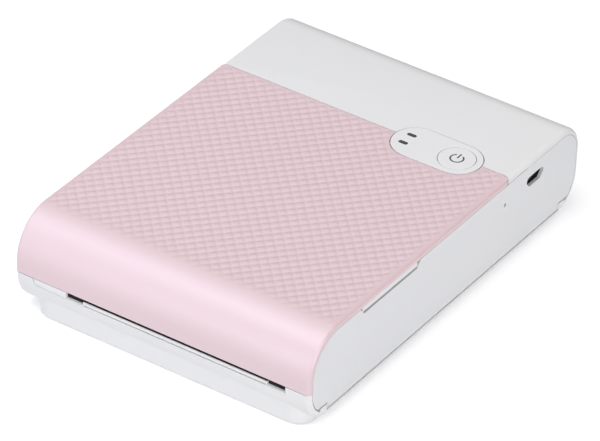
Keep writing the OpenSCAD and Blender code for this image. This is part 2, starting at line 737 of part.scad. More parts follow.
module right_chassis_plate() color(white) {
  along_x(plate_right_x, plate_right_x + plate_t)
    difference() {
      plate_view();
      // Bay for the cassette, open at the bottom under the tray
      bay_view(bay_gap);
      translate([supply_y + 2.4 - bay_gap, 0])
        square([tray_y1 - supply_y - 2.4 + 2 * bay_gap, cas_z]);
      shaft_bores();
      translate([pivot_y, pivot_z]) circle(d = pivot_d);
      socket_opening(0.4);
      translate([reset_y, socket_z - 0.9]) circle(d = 1.5);
    }
  for (p = [screw_points[1], screw_points[3]]) screw_boss(p, plate_right_x + tiny);
}
guide_x0 = plate_left_x + plate_t;
guide_x1 = plate_right_x;
// Opening in the guides that the pick-up tyre reaches through
tyre_w = 10;
module tyre_opening() {
  box(sheet_mid - tyre_w, sheet_mid + tyre_w, pickup_c[0] - pickup_r - 1, pickup_c[0] + pickup_r + 1,
    lower_guide_z - 1, upper_guide_z + guide_t + 1);
}
module lower_paper_guide() color(dark_part)
  difference() {
    box(guide_x0, guide_x1, guide_y0, guide_y1, lower_guide_z, lower_guide_z + guide_t);
    tyre_opening();
  }
module upper_paper_guide() color(dark_part) {
  difference() {
    box(guide_x0, guide_x1, pickup_c[0] - 5.4, guide_y1, upper_guide_z, upper_guide_z + guide_t);
    tyre_opening();
    box(guide_x0 - 1, guide_x1 + 1, pickup_c[0] - shaft_d / 2 - 0.6, pickup_c[0] + shaft_d / 2 + 0.6,
      lower_guide_z, body_h);
  }
  // Edge rails that close the paper channel
  for (x = [[guide_x0, sheet_x0 - 0.6], [sheet_x1 + 0.6, guide_x1]])
    box(x[0], x[1], pickup_c[0] + 8, guide_y1, lower_guide_z + guide_t, upper_guide_z);
  // Posts that hold the main board
  for (x = [board_x0 + 2, board_x1 - 5], y = [board_y0 + 3, board_y1 - 7])
    box(x, x + 3, y - 1, y + 2, upper_guide_z + guide_t, board_z);
}
module platen_shaft() color(steel)
  union() {
    rod_x([head_y, platen_z], shaft_d / 2, plate_left_x - 0.6, plate_right_x + plate_t + 0.2);
    rod_x([head_y, platen_z], platen_d / 2 - 1.6, roller_x0, roller_x1);
  }
module platen_rubber() color(rubber)
  difference() {
    rod_x([head_y, platen_z], platen_d / 2, roller_x0, roller_x1);
    rod_x([head_y, platen_z], platen_d / 2 - 1.6, roller_x0 - 1, roller_x1 + 1);
  }
module feed_roller() color(steel) {
  rod_x(feed_c, shaft_d / 2, gear_x0 - 0.6, plate_right_x + plate_t + 0.2);
  rod_x(feed_c, feed_d / 2, roller_x0, roller_x1);
}
module feed_gear() color(gear_white)
  gear(feed_c, n_feed, 0, shaft_d / 2, 2.6);
module pinch_roller() color(rubber) {
  rod_x([feed_y, pinch_z], shaft_d / 2, plate_left_x - 0.4, plate_right_x + plate_t + 0.2);
  pitch = (roller_x1 - roller_x0) / 4;
  for (k = [0 : 3])
    rod_x([feed_y, pinch_z], pinch_d / 2, roller_x0 + 2 + k * pitch, roller_x0 + pitch - 3 + k * pitch);
}
tyre_core_r = 2.6;
module pickup_shaft() color(steel) {
  rod_x(pickup_c, shaft_d / 2, gear_x0 - 0.6, plate_right_x + plate_t + 0.2);
  rod_x(pickup_c, tyre_core_r, sheet_mid - tyre_w / 2 - 1, sheet_mid + tyre_w / 2 + 1);
}
module pickup_tyre() color(rubber)
  difference() {
    rod_x(pickup_c, pickup_r, sheet_mid - tyre_w / 2, sheet_mid + tyre_w / 2);
    rod_x(pickup_c, tyre_core_r, sheet_mid - tyre_w, sheet_mid + tyre_w);
  }
module pickup_gear() color(gear_white)
  gear(pickup_c, n_pickup, pickup_turn, shaft_d / 2, 2.6);
module drive_motor() color(steel) {
  x0 = plate_left_x + plate_t;
  difference() {
    rod_x(pinion_c, motor_d / 2, x0, x0 + motor_l);
    rod_x(pinion_c, 1.2, x0 - 1, x0 + 2.4);
  }
  rod_x(pinion_c, 2, x0 + motor_l - tiny, x0 + motor_l + 1.2);
}
module motor_pinion() color("#b98f3e")
  union() {
    along_x(gear_x0, gear_x1) translate(pinion_c) gear_view(n_pinion, pinion_turn);
    rod_x(pinion_c, 0.75, gear_x0 - 0.4, plate_left_x + plate_t + 2.2);
  }
module idler_gear() color(gear_white)
  gear(idler_c, n_idler, idler_turn, 1 + run_fit, 2.8);
module idler_stud() color(steel) {
  rod_x(idler_c, 1, gear_x0 - 1.2, plate_left_x + plate_t);
  rod_x(idler_c, 1.8, gear_x1 + 0.75, plate_left_x);
  rod_x(idler_c, 1.8, gear_x0 - 1.6, gear_x0 - 0.75);
}
module takeup_gear() color(gear_white)
  gear(takeup_c, n_takeup, takeup_turn, shaft_d / 2, 2);
spindle_end = cas_left + 6;
module spindle(c, x0) {
  rod_x(c, shaft_d / 2, x0, spindle_end);
  rod_x(c, 1.9, plate_left_x + plate_t + 0.1, cas_left - 0.1);
  // Three driving fins
  for (a = [0, 120, 240])
    translate([cas_left + 2, c[0], c[1]]) rotate([a, 0, 0]) translate([0, -0.25, 0]) cube([3, 0.5, 1.7]);
}
module takeup_spindle() color(dark_part) spindle(takeup_c, gear_x0 - 0.6);
module supply_spindle() color(dark_part) spindle([supply_y, spool_z], plate_left_x - 0.6);

// ---- print head ----
module print_head() color("#d8d2c4") {
  z0 = path_z + 0.55 + head_rise;
  difference() {
    box(head_x0, head_x1, head_y - 4, head_y + 4, z0 + 0.5, z0 + 1.6);
    box(head_x0 - 1, head_x1 + 1, head_y + 2, head_y + 5, z0, z0 + 0.9);
  }
  // Heater line
  translate([0, head_y, z0 + 0.5]) rotate([0, 90, 0]) translate([0, 0, head_x0])
    intersection() {
      cylinder(r = 0.5, h = head_x1 - head_x0);
      translate([-1, -1, 0]) cube([1 + 0.5, 2, 200]);
    }
}
module heat_sink() color(grey_part) {
  z0 = path_z + 0.55 + head_rise + 1.6;
  difference() {
    box(head_x0, head_x1, head_y - 4, head_y + 4, z0, bracket_z);
    for (y = [head_y - 2.7 : 2.1 : head_y + 2.4])
      box(head_x0 - 1, head_x1 + 1, y, y + 1.1, z0 + 2, bracket_z - 1.2);
  }
}
module head_bracket() color(steel) {
  x0 = guide_x0 + 1;
  x1 = guide_x1 - 1;
  barrel_r = pivot_d / 2 + 0.9;
  difference() {
    union() {
      box(x0 + 3, x1 - 3, head_y - 5, pivot_y, bracket_z, bracket_z + bracket_t);
      for (x = [x0, x1 - 6]) {
        rod_x([pivot_y, pivot_z], barrel_r, x, x + 6);
        box(x, x + 6, pivot_y - barrel_r, pivot_y, pivot_z, bracket_z + bracket_t);
      }
      // Turned-down stiffening flange at the front
      box(x0 + 3, x1 - 3, head_y - 5, head_y - 5 + bracket_t, bracket_z - 2.4, bracket_z);
    }
    rod_x([pivot_y, pivot_z], pivot_d / 2 + run_fit, x0 - 1, x1 + 1);
    pitch = (x1 - x0 - 13) / 5;
    for (k = [0 : 4])
      box(x0 + 9 + k * pitch, x0 + 4 + (k + 1) * pitch, head_y + 8, pivot_y - 6,
        bracket_z - 1, bracket_z + 3);
  }
}
module head_pivot() color(steel)
  rod_x([pivot_y, pivot_z], pivot_d / 2, plate_left_x - 0.6, plate_right_x + plate_t + 0.3);

// ---- cassette ----
module cas_end_view() {
  difference() {
    bay_view(0);
    // Gap for the print head between the two spools
    translate([head_y - 5.2, path_z + 2.6]) square([10.4, 20]);
    translate([takeup_y - tube_r - 1, spool_z + tube_r - 0.2]) square([60, 5]);
  }
}
// Trough around a spool, open downward and on the side where the head comes down
module ribbon_tube(y) {
  head_side = y < head_y ? [y + 2, y + 9] : [y - 9, y - 2];
  difference() {
    rod_x([y, spool_z], tube_r - 0.1, cas_left + 1, cas_right - 3);
    rod_x([y, spool_z], tube_r - 0.8, cas_left, cas_right);
    box(cas_left - 1, cas_right, y - 9, y + 9, 0, spool_z - 2);
    box(cas_left - 1, cas_right, head_side[0], head_side[1], 0, 60);
    box(cas_left - 1, cas_right, y - 9, y + 9, spool_z + tube_r - 0.2, 60);
  }
}
module cassette_case() color("#55585e") {
  for (x = [[cas_left, cas_left + 1.4], [cas_right - 4, cas_right - 2]])
    difference() {
      along_x(x[0], x[1]) cas_end_view();
      for (y = [takeup_y, supply_y])
        rod_x([y, spool_z], spool_d / 2 + run_fit, x[0] - 1, x[1] + 1);
    }
  ribbon_tube(takeup_y);
  ribbon_tube(supply_y);
  // Tray: floor with a window for the lift plate's spring, and four walls
  difference() {
    box(cas_left + 1.4, cas_right - 4, tray_y0, tray_y1, cas_z, cas_z + tray_h);
    box(sheet_x0 - 0.3, sheet_x1 + 0.3, tray_y0 + cas_wall, tray_y1 - cas_wall,
      cas_z + cas_wall, cas_z + tray_h + 1);
    box(sheet_mid - 10, sheet_mid + 10, tray_y0 + 12, tray_y0 + 40, cas_z - 1, cas_z + cas_wall + 1);
    rod_x([lift_y1, lift_axis_z], lift_pin_r + run_fit, sheet_x0 - 1.2, sheet_x1 + 1.2);
    // Front edge lowered so that the top sheet leaves
    box(sheet_x0 - 0.3, sheet_x1 + 0.3, tray_y0 - 1, tray_y0 + 2, stack_top - 0.6, body_h);
    // Pockets that lighten the side walls
    pocket = tray_d / 4.2;
    for (k = [0 : 3])
      box(sheet_x1 + 1.3, cas_right - 5, tray_y0 + 4 + pocket * k, tray_y0 + 1 + pocket * (k + 1),
        cas_z + 1.6, body_h);
  }
}
module cassette_grip() color("#6a6d74") {
  difference() {
    along_x(cas_right - 2, cas_right) cas_end_view();
    // Grooves that leave ribs for the fingers
    for (y = [-24 : 8 : 24])
      box(cas_right - 0.6, cas_right + 1, tray_y0 + tray_d / 2 + y - 2, tray_y0 + tray_d / 2 + y + 2,
        cas_z + 2, cas_z + tray_h - 1.6);
  }
}
module spool(y, turn_r) {
  difference() {
    rod_x([y, spool_z], spool_d / 2, cas_left + 0.3, cas_right - 2.2);
    rod_x([y, spool_z], 2, cas_left, spindle_end + 0.5);
  }
}
module supply_spool() color("#e2e2e2") spool(supply_y);
module takeup_spool() color("#e2e2e2") spool(takeup_y);
module roll(y, d)
  difference() {
    rod_x([y, spool_z], d / 2, sheet_x0 - 1, sheet_x1 + 1);
    rod_x([y, spool_z], spool_d / 2, sheet_x0 - 2, sheet_x1 + 2);
  }
module supply_roll() color("#d8a13a") roll(supply_y, supply_d);
module takeup_roll() color("#5a3a6a") roll(takeup_y, takeup_d);
// Film from the supply roll, under the print head and up to the take-up roll
film = 0.2;
function touch_point(c, r, p, side) =
  let(a = heading(c, p) + side * acos(r / norm(p - c))) c + r * [cos(a), sin(a)];
module film_run(a, b) {
  n = film / 2 / norm(b - a) * [a[1] - b[1], b[0] - a[0]];
  polygon([a - n, b - n, b + n, a + n]);
  translate(b) circle(d = film, $fn = 16);
}
module ribbon_web() color("#c4496a") {
  z = path_z + 1.05;
  rear = [head_y + 4.8, z];
  front = [head_y - 4.8, z];
  along_x(sheet_x0, sheet_x1) {
    film_run(touch_point([supply_y, spool_z], supply_d / 2 + 0.3, rear, -1), rear);
    film_run(rear, front);
    film_run(front, touch_point(takeup_c, takeup_d / 2 + 0.3, front, 1));
  }
}
module paper_stack() color("#fbfbf8") {
  y0 = tray_y0 + cas_wall + 0.3;
  box(sheet_x0, sheet_x1, y0, y0 + sheet_l, stack_z, stack_top);
}
// Plate that presses the stack up, on a rod whose ends turn in the tray's side walls
lift_y0 = tray_y0 + cas_wall + 4;
lift_y1 = tray_y0 + 60;
lift_pin_r = 0.6;
lift_axis_z = stack_z - 0.1 - lift_pin_r;
lift_t = 0.55;
module lift_plate() color(steel)
  difference() {
    union() {
      box(sheet_x0 + 6, sheet_x1 - 6, lift_y0, lift_y1, stack_z - 0.05 - lift_t, stack_z - 0.05);
      rod_x([lift_y1, lift_axis_z], lift_pin_r, sheet_x0 - 1.1, sheet_x1 + 1.1);
    }
    // Openings that lighten the plate
    for (x = [sheet_x0 + 14, sheet_x1 - 30]) box(x, x + 16, lift_y0 + 34, lift_y1 - 6, 0, body_h);
  }
// Leaf on the case's floor that pushes the lift plate up through the window in the tray
spring_t = 0.3;
module leaf_run(a, b) {
  polygon([a, b, b + [0, spring_t], a + [0, spring_t]]);
}
module lift_spring() color(steel) {
  y0 = tray_y0 + 15;
  foot = [y0 + 22, floor_z];
  bend = [y0 + 14, floor_z];
  crown = [y0 + 2, stack_z - 0.1 - lift_t - spring_t];
  along_x(sheet_mid - 4, sheet_mid + 4) {
    leaf_run(bend, foot);
    leaf_run(crown, bend);
    leaf_run(crown - [2, 0.8], crown);
  }
}

// ---- the part ----
bottom_case();
top_cover();
rear_cover();
front_insert();
left_side_panel();
cassette_door();
door_hinge_pins();
rubber_feet();
case_screws();
control_plate();
power_button();
light_guides();
power_switch();
main_board();
usb_socket();
reset_switch();
reset_button();
battery_pack();
left_chassis_plate();
right_chassis_plate();
lower_paper_guide();
upper_paper_guide();
platen_shaft();
platen_rubber();
feed_roller();
feed_gear();
pinch_roller();
pickup_shaft();
pickup_tyre();
pickup_gear();
drive_motor();
motor_pinion();
idler_gear();
idler_stud();
takeup_gear();
takeup_spindle();
supply_spindle();
print_head();
heat_sink();
head_bracket();
head_pivot();
cassette_case();
cassette_grip();
supply_spool();
takeup_spool();
supply_roll();
takeup_roll();
ribbon_web();
paper_stack();
lift_plate();
lift_spring();
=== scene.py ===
import math

import bmesh
import bpy
from mathutils import Matrix, Vector


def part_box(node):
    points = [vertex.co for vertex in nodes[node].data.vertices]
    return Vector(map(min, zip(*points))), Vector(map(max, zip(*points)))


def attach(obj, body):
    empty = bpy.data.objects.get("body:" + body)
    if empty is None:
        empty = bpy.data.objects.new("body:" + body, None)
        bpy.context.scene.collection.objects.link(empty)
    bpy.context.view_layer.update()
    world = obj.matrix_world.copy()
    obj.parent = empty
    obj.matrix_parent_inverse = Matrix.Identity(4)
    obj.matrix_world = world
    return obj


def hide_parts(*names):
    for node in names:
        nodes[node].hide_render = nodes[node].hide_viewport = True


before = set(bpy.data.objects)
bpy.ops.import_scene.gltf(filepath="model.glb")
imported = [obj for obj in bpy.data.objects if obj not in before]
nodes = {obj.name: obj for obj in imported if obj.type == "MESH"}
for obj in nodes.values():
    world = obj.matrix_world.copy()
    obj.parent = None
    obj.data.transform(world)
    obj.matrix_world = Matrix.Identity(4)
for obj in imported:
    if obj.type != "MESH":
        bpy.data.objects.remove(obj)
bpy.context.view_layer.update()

scene = bpy.context.scene

# ---- Camera ----
# A long lens over the right front corner, at the height and distance from which the
# edges of the case fall where the photograph shows them.
MM = 0.001
photo_width_px = 600
focal_px = 5218.07
camera_turn = math.radians(32.94)
camera_rise = math.radians(34.74)
camera_roll = math.radians(2.2)
camera_distance = 1528.13 * MM
aim_height = 15.5 * MM
frame_shift = (0.56 * MM, 2.49 * MM)
sensor_width_mm = 36

back = Vector((math.sin(camera_turn) * math.cos(camera_rise),
               -math.cos(camera_turn) * math.cos(camera_rise), math.sin(camera_rise)))
level = Vector((math.cos(camera_turn), math.sin(camera_turn), 0))
upright = back.cross(level)
across = math.cos(camera_roll) * level + math.sin(camera_roll) * upright
upward = -math.sin(camera_roll) * level + math.cos(camera_roll) * upright
camera_data = bpy.data.cameras.new("photo_camera")
camera_data.sensor_width = sensor_width_mm
camera_data.lens = focal_px / photo_width_px * sensor_width_mm
camera_data.clip_end = 50
camera = bpy.data.objects.new("photo_camera", camera_data)
camera.location = (Vector((0, 0, aim_height)) + back * camera_distance
                   - across * frame_shift[0] - upward * frame_shift[1])
camera.rotation_euler = Matrix((across, upward, back)).transposed().to_euler()
scene.collection.objects.link(camera)
scene.camera = camera

# ---- Studio ----
# A white sweep with even light from all round, a broad bank overhead, a softbox high in
# front on the left that shows in the bend of the pearl cover, and fills for front and door.
scene.view_settings.view_transform = "Standard"


def linear(hex_colour):
    """Turns an sRGB hex colour into the linear colour that a shader takes."""
    channels = []
    for start in (1, 3, 5):
        c = int(hex_colour[start:start + 2], 16) / 255
        channels.append(c / 12.92 if c <= 0.04045 else ((c + 0.055) / 1.055) ** 2.4)
    return (*channels, 1.0)


def add_node(tree, kind, settings=None, links=None):
    """Adds one node, sets its sockets and properties, and links outputs of others to its inputs."""
    node = tree.nodes.new(kind)
    for name, value in (settings or {}).items():
        if isinstance(name, int) or name in node.inputs:
            node.inputs[name].default_value = value
        else:
            setattr(node, name, value)
    for name, (source, output) in (links or {}).items():
        tree.links.new(source.outputs[output], node.inputs[name])
    return node


def empty_material(name):
    """A new material with no nodes in it yet, and its tree."""
    material = bpy.data.materials.new(name)
    material.use_nodes = True
    material.node_tree.nodes.clear()
    return material, material.node_tree


world = bpy.data.worlds.new("white_sweep")
scene.world = world
world.use_nodes = True
sky = world.node_tree
sky.nodes.clear()
sweep_light = 0.5
flag_way = (0.5, 0.85, 0.0)
flag_depth = 0.85
flag_shadow = 0.7
rays = add_node(sky, "ShaderNodeLightPath")
toward = add_node(sky, "ShaderNodeTexCoord")
toward_axes = add_node(sky, "ShaderNodeSeparateXYZ", links={0: (toward, "Generated")})
# A dark flag low down behind the part to the right, which fades out upwards: the part
# mirrors it, and it holds back some of the light from there
right_rear = add_node(sky, "ShaderNodeVectorMath", {"operation": "DOT_PRODUCT", 1: flag_way},
                      {0: (toward, "Generated")})
behind = add_node(sky, "ShaderNodeMapRange",
                  {"interpolation_type": "SMOOTHSTEP", "From Min": -0.05, "From Max": 0.7,
                   "To Min": 0.0, "To Max": 1.0}, {"Value": (right_rear, "Value")})
low_down = add_node(sky, "ShaderNodeMapRange",
                    {"interpolation_type": "SMOOTHSTEP", "From Min": 0.05, "From Max": 0.95,
                     "To Min": flag_depth, "To Max": 0.0}, {"Value": (toward_axes, 2)})
flag = add_node(sky, "ShaderNodeMath", {"operation": "MULTIPLY"}, {0: (behind, 0), 1: (low_down, 0)})
mirrored = add_node(sky, "ShaderNodeMath", {"operation": "SUBTRACT", 0: 1.0}, {1: (flag, 0)})
shadowed = add_node(sky, "ShaderNodeMath",
                    {"operation": "MULTIPLY_ADD", 1: -flag_shadow * sweep_light, 2: sweep_light},
                    {0: (flag, 0)})
lit = add_node(sky, "ShaderNodeBackground", {"Color": linear("#fbfcff")}, {"Strength": (shadowed, 0)})
shining = add_node(sky, "ShaderNodeBackground", {"Color": (1, 1, 1, 1)}, {"Strength": (mirrored, 0)})
shown = add_node(sky, "ShaderNodeBackground", {"Color": (1, 1, 1, 1), "Strength": 1.0})
for_the_part = add_node(sky, "ShaderNodeMixShader",
                        links={0: (rays, "Is Glossy Ray"), 1: (lit, 0), 2: (shining, 0)})
in_the_lens = add_node(sky, "ShaderNodeMath", {"operation": "MAXIMUM"},
                       {0: (rays, "Is Camera Ray"), 1: (rays, "Is Transmission Ray")})
whole_sky = add_node(sky, "ShaderNodeMixShader",
                     links={0: (in_the_lens, 0), 1: (for_the_part, 0), 2: (shown, 0)})
add_node(sky, "ShaderNodeOutputWorld", links={"Surface": (whole_sky, 0)})


def softbox(name, direction, distance, side, watts, colour):
    """A square lamp that hangs in a direction from the part and faces it."""
    lamp = bpy.data.lights.new(name, "AREA")
    lamp.size = side
    lamp.energy = watts
    lamp.color = linear(colour)[:3]
    holder = bpy.data.objects.new(name, lamp)
    way = Vector(direction).normalized()
    holder.location = way * distance + Vector((0, 0, aim_height))
    holder.rotation_euler = way.to_track_quat("Z", "Y").to_euler()
    scene.collection.objects.link(holder)


softbox("overhead_bank", (-0.1, -0.27, 1.0), distance=1.5, side=1.0, watts=7.7, colour="#fffdfa")
softbox("bend_softbox", (-0.6, -0.42, 0.72), distance=0.5, side=0.36, watts=0.33, colour="#dceaff")
softbox("front_fill", (-0.2, -0.95, 0.25), distance=1.5, side=0.8, watts=3.5, colour="#f3f8ff")
softbox("door_fill", (0.95, -0.3, 0.2), distance=1.5, side=0.8, watts=8.9, colour="#ffffff")

floor_radius = 4.0
floor_corners = 24
floor_drop = 0.02 * MM
floor_mesh = bpy.data.meshes.new("sweep_floor")
floor_mesh.from_pydata([(floor_radius * math.cos(2 * math.pi * k / floor_corners),
                         floor_radius * math.sin(2 * math.pi * k / floor_corners), -floor_drop)
                        for k in range(floor_corners)],
                       [], [list(range(floor_corners))])
sweep_floor = bpy.data.objects.new("sweep_floor", floor_mesh)
scene.collection.objects.link(sweep_floor)
# Painted white board: matt, and a little over white to the camera, so that only shadow shows
over_white = 0.42
bounce_cut = 0.14
card_start, card_full = 80, 160
board_paint, tree = empty_material("matt_white_board")
floor_rays = add_node(tree, "ShaderNodeLightPath")
place = add_node(tree, "ShaderNodeTexCoord")
floor_axes = add_node(tree, "ShaderNodeSeparateXYZ", links={0: (place, "Object")})
# What shines in the part grows darker from 80 mm behind its middle, as before a black card
card = add_node(tree, "ShaderNodeMapRange",
                {"From Min": card_start * MM, "From Max": card_full * MM, "To Min": 1.0, "To Max": 0.0},
                {"Value": (floor_axes, 1)})
mirrored_white = add_node(tree, "ShaderNodeMath", {"operation": "MULTIPLY"},
                          {0: (floor_rays, "Is Glossy Ray"), 1: (card, 0)})
made_brighter = add_node(tree, "ShaderNodeMath", {"operation": "MAXIMUM"},
                         {0: (floor_rays, "Is Camera Ray"), 1: (mirrored_white, 0)})
glow_strength = add_node(tree, "ShaderNodeMath", {"operation": "MULTIPLY", 1: over_white},
                         {0: (made_brighter, 0)})
mirrored_dark = add_node(tree, "ShaderNodeMath", {"operation": "SUBTRACT"},
                         {0: (floor_rays, "Is Glossy Ray"), 1: (mirrored_white, 0)})
# Some of the light that the board would throw up under the part is taken away
dimmed = add_node(tree, "ShaderNodeMath", {"operation": "MULTIPLY_ADD", 1: bounce_cut},
                  {0: (floor_rays, "Is Diffuse Ray"), 2: (mirrored_dark, 0)})
board_tint = add_node(tree, "ShaderNodeMix",
                      {"data_type": "RGBA", 6: linear("#e9e9ea"), 7: linear("#77777a")},
                      {0: (dimmed, 0)})
board = add_node(tree, "ShaderNodeBsdfDiffuse", links={"Color": (board_tint, 2)})
glow = add_node(tree, "ShaderNodeEmission", {"Color": (1, 1, 1, 1)}, {"Strength": (glow_strength, 0)})
board_and_glow = add_node(tree, "ShaderNodeAddShader", links={0: (board, 0), 1: (glow, 0)})
add_node(tree, "ShaderNodeOutputMaterial", links={"Surface": (board_and_glow, 0)})
floor_mesh.materials.append(board_paint)

# ---- Bottom case ----
# The lower front and the floor of the case with its plinth, one injection moulding in
# white ABS. The covers and the two chassis plates are screwed and clipped to it.


def moulded(name, colour, shade, roughness, ior, grain_mm=0.35, grain_depth_mm=0.004):
    """A moulded plastic or rubber: even, slightly lighter or darker in wide areas, with the
    fine grain of its mould that softens the gloss."""
    flow_mm, gloss_spread = 45, 0.05
    material, tree = empty_material(name)
    place = add_node(tree, "ShaderNodeTexCoord")
    flow = add_node(tree, "ShaderNodeTexNoise", {"Scale": 1 / (flow_mm * MM), "Detail": 2.0},
                    {"Vector": (place, "Object")})
    tint = add_node(tree, "ShaderNodeMix", {"data_type": "RGBA", 6: linear(colour), 7: linear(shade)},
                    {0: (flow, 0)})
    grain = add_node(tree, "ShaderNodeTexNoise", {"Scale": 1 / (grain_mm * MM), "Detail": 3.0},
                     {"Vector": (place, "Object")})
    gloss = add_node(tree, "ShaderNodeMapRange",
                     {"To Min": roughness - gloss_spread, "To Max": roughness + gloss_spread},
                     {"Value": (grain, 0)})
    relief = add_node(tree, "ShaderNodeBump", {"Strength": 0.35, "Distance": grain_depth_mm * MM},
                      {"Height": (grain, 0)})
    skin = add_node(tree, "ShaderNodeBsdfPrincipled", {"IOR": ior},
                    {"Base Color": (tint, 2), "Roughness": (gloss, 0), "Normal": (relief, 0)})
    add_node(tree, "ShaderNodeOutputMaterial", links={"Surface": (skin, 0)})
    return material


def finish_node(name, material):
    """Gives a CAD node its finish."""
    if not nodes[name].material_slots:
        nodes[name].data.materials.append(material)
    for holder in nodes[name].material_slots:
        holder.material = material


def rounded_copy(node, body, material, edge_mm, sharp_deg=38, soft_mm=0.0, is_soft=None):
    """The same shape as a CAD node with its sharp edges rounded, which stands for the node.
    Edges that is_soft picks out are rounded by soft_mm."""
    weld_mm, flat_deg = 0.002, 0.6
    bm = bmesh.new()
    bm.from_mesh(nodes[node].data)
    bmesh.ops.remove_doubles(bm, verts=bm.verts, dist=weld_mm * MM)
    bmesh.ops.dissolve_limit(bm, angle_limit=math.radians(flat_deg), verts=bm.verts, edges=bm.edges)
    for face in bm.faces:
        face.smooth = True
    if is_soft:
        weight = bm.edges.layers.float.new("bevel_weight_edge")
        for edge in bm.edges:
            edge[weight] = float(len(edge.link_faces) == 2 and is_soft(edge))
    mesh = bpy.data.meshes.new(node + "_finished")
    bm.to_mesh(mesh)
    bm.free()
    if "custom_normal" in mesh.attributes:
        mesh.attributes.remove(mesh.attributes["custom_normal"])
    mesh.materials.clear()
    mesh.materials.append(material)
    piece = bpy.data.objects.new(node + "_finished", mesh)
    scene.collection.objects.link(piece)
    if is_soft:
        soft = piece.modifiers.new("soft", "BEVEL")
        soft.width = soft_mm * MM
        soft.segments = 5
        soft.limit_method = "WEIGHT"
        soft.use_clamp_overlap = True
    edge = piece.modifiers.new("edge", "BEVEL")
    edge.width = edge_mm * MM
    edge.segments = 2
    edge.limit_method = "ANGLE"
    edge.angle_limit = math.radians(sharp_deg)
    edge.use_clamp_overlap = True
    edge.harden_normals = True
    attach(piece, body)
    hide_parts(node)
    return piece


# Injection-moulded ABS with a satin spark finish: clean white, with soft lights on its edges
white_abs = moulded("satin_white_abs", "#f1f0ef", "#eeeded", roughness=0.42, ior=1.53)
plinth_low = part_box("bottom_case")[0].z


def around_plinth(edge):
    """Whether an edge is the plinth's lower edge or the groove where its wall meets the bends."""
    standing, slanting, lying = 0.02, 0.2, 0.9
    foot_slack, above_foot, below_bends = 0.1 * MM, 3 * MM, 8 * MM
    least_turn, most_turn = 15, 80
    turn = math.degrees(edge.calc_face_angle(0))
    ways = sorted(abs(face.normal.z) for face in edge.link_faces)
    heights = [v.co.z for v in edge.verts]
    if ways[0] > standing or max(heights) > below_bends:
        return False
    at_foot = max(heights) < plinth_low + foot_slack and ways[1] > lying
    in_groove = min(heights) > above_foot and least_turn < turn < most_turn and ways[1] > slanting
    return at_foot or in_groove


rounded_copy("bottom_case", "case", white_abs, edge_mm=0.15, soft_mm=0.9,
             is_soft=around_plinth)

# ---- Rear cover ----
# The white cover over the rear third and down the back, in the same ABS as the bottom case
# and clipped to it. It meets the pearl cover at a straight seam.
rear_cover = rounded_copy("rear_cover", "case", white_abs, edge_mm=0.15)

# ---- Pearl cover ----
# One sheet of ABS bent over the top and down the front, in a pink paint with a pearl
# pigment. Its top is embossed with small raised tiles in a slanting lattice, which fade
# out where the bend begins and stop short of the edges.


def box_mm(name):
    """The low and high corners of a CAD node's box, in millimetres."""
    return [Vector(corner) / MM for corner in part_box(name)]


cover_low, cover_high = box_mm("top_cover")
half_width = cover_high.x
case_front = cover_low.y
cover_seam = cover_high.y
cover_top = cover_high.z
wall = 1.2
rim_wall = 1.8
rim_radius = 1.0
front_bend = 14.0
cover_corner = 2.0
edge_break = 0.2
bend_length = front_bend * math.pi / 2
front_drop = cover_top - front_bend - cover_low.z
along_front = -(bend_length + front_drop)
along_rear = cover_seam - (case_front + front_bend)
rim_end = half_width - rim_radius + rim_radius * math.pi / 2
across_end = rim_end + rim_wall - rim_radius
panel_depth = 2.2
panel_gap = 0.3
room_width = half_width - panel_depth - panel_gap

tile_pitch = 2.82
tile_angles = (47.6, 132.4)
cells_per_tile = 6
emboss_height = 0.3
emboss_top = 0.14
emboss_full, emboss_gone = 3.0, -4.0
emboss_ramp = 0.5
plain_border = 1.5


def bent(x, s, out):
    """The point in space at x across and s along the cover, at the distance out from the
    middle of the front bend."""
    bend_y, bend_z = case_front + front_bend, cover_top - front_bend
    if s >= 0:
        return Vector((x, bend_y + s, bend_z + out))
    if s >= -bend_length:
        turn = -s / front_bend
        return Vector((x, bend_y - out * math.sin(turn), bend_z + out * math.cos(turn)))
    return Vector((x, bend_y - out, bend_z - (-s - bend_length)))


def skin_point(a, s, rise):
    """A point of the outer face: a goes over the rounded rims, s along the cover, and rise
    is how far it stands out."""
    over = abs(a) - (half_width - rim_radius)
    x, inset = a, 0.0
    if over > 0:
        turn = min(over / rim_radius, math.pi / 2)
        x = math.copysign(half_width - rim_radius + rim_radius * math.sin(turn), a)
        inset = rim_radius * (1 - math.cos(turn)) + max(0.0, over - rim_radius * math.pi / 2)
    margin = min(s - along_front, along_rear - s)
    if margin < edge_break:
        inset += edge_break - math.sqrt(max(0.0, edge_break ** 2 - (edge_break - margin) ** 2))
    return bent(x, s, front_bend - min(inset, rim_wall) + rise)


def ease(t):
    """Goes smoothly from 0 to 1."""
    t = max(0.0, min(1.0, t))
    return t * t * (3 - 2 * t)


def tile_ways():
    """The two ways of the lattice, each as long as one tile."""
    return [Vector((math.cos(math.radians(d)), math.sin(math.radians(d)))) * tile_pitch
            for d in tile_angles]


def tile(a, s):
    """Height of the tiles at a point, from 0 in the gaps between them to 1 on their crowns."""
    crown_power, end_drop, end_power = 2.0, 0.75, 3.0
    u, v = tile_ways()
    det = u.x * v.y - u.y * v.x
    p = (a * v.y - s * v.x) / det
    q = (s * u.x - a * u.y) / det
    along_p, along_q = p - math.floor(p), q - math.floor(q)
    crown = 1 - abs(2 * along_q - 1) ** crown_power
    ends = 1 - end_drop * abs(2 * along_p - 1) ** end_power
    return max(0.0, crown * ends)


plate_low, plate_high = box_mm("control_plate")
flange = 1.2
plate_round = (plate_high.y - plate_low.y) / 2 - flange
plate_mid_y = (plate_high.y + plate_low.y) / 2
plate_ends = (plate_low.x + flange + plate_round, plate_high.x - flange - plate_round)
plate_border = 0.9


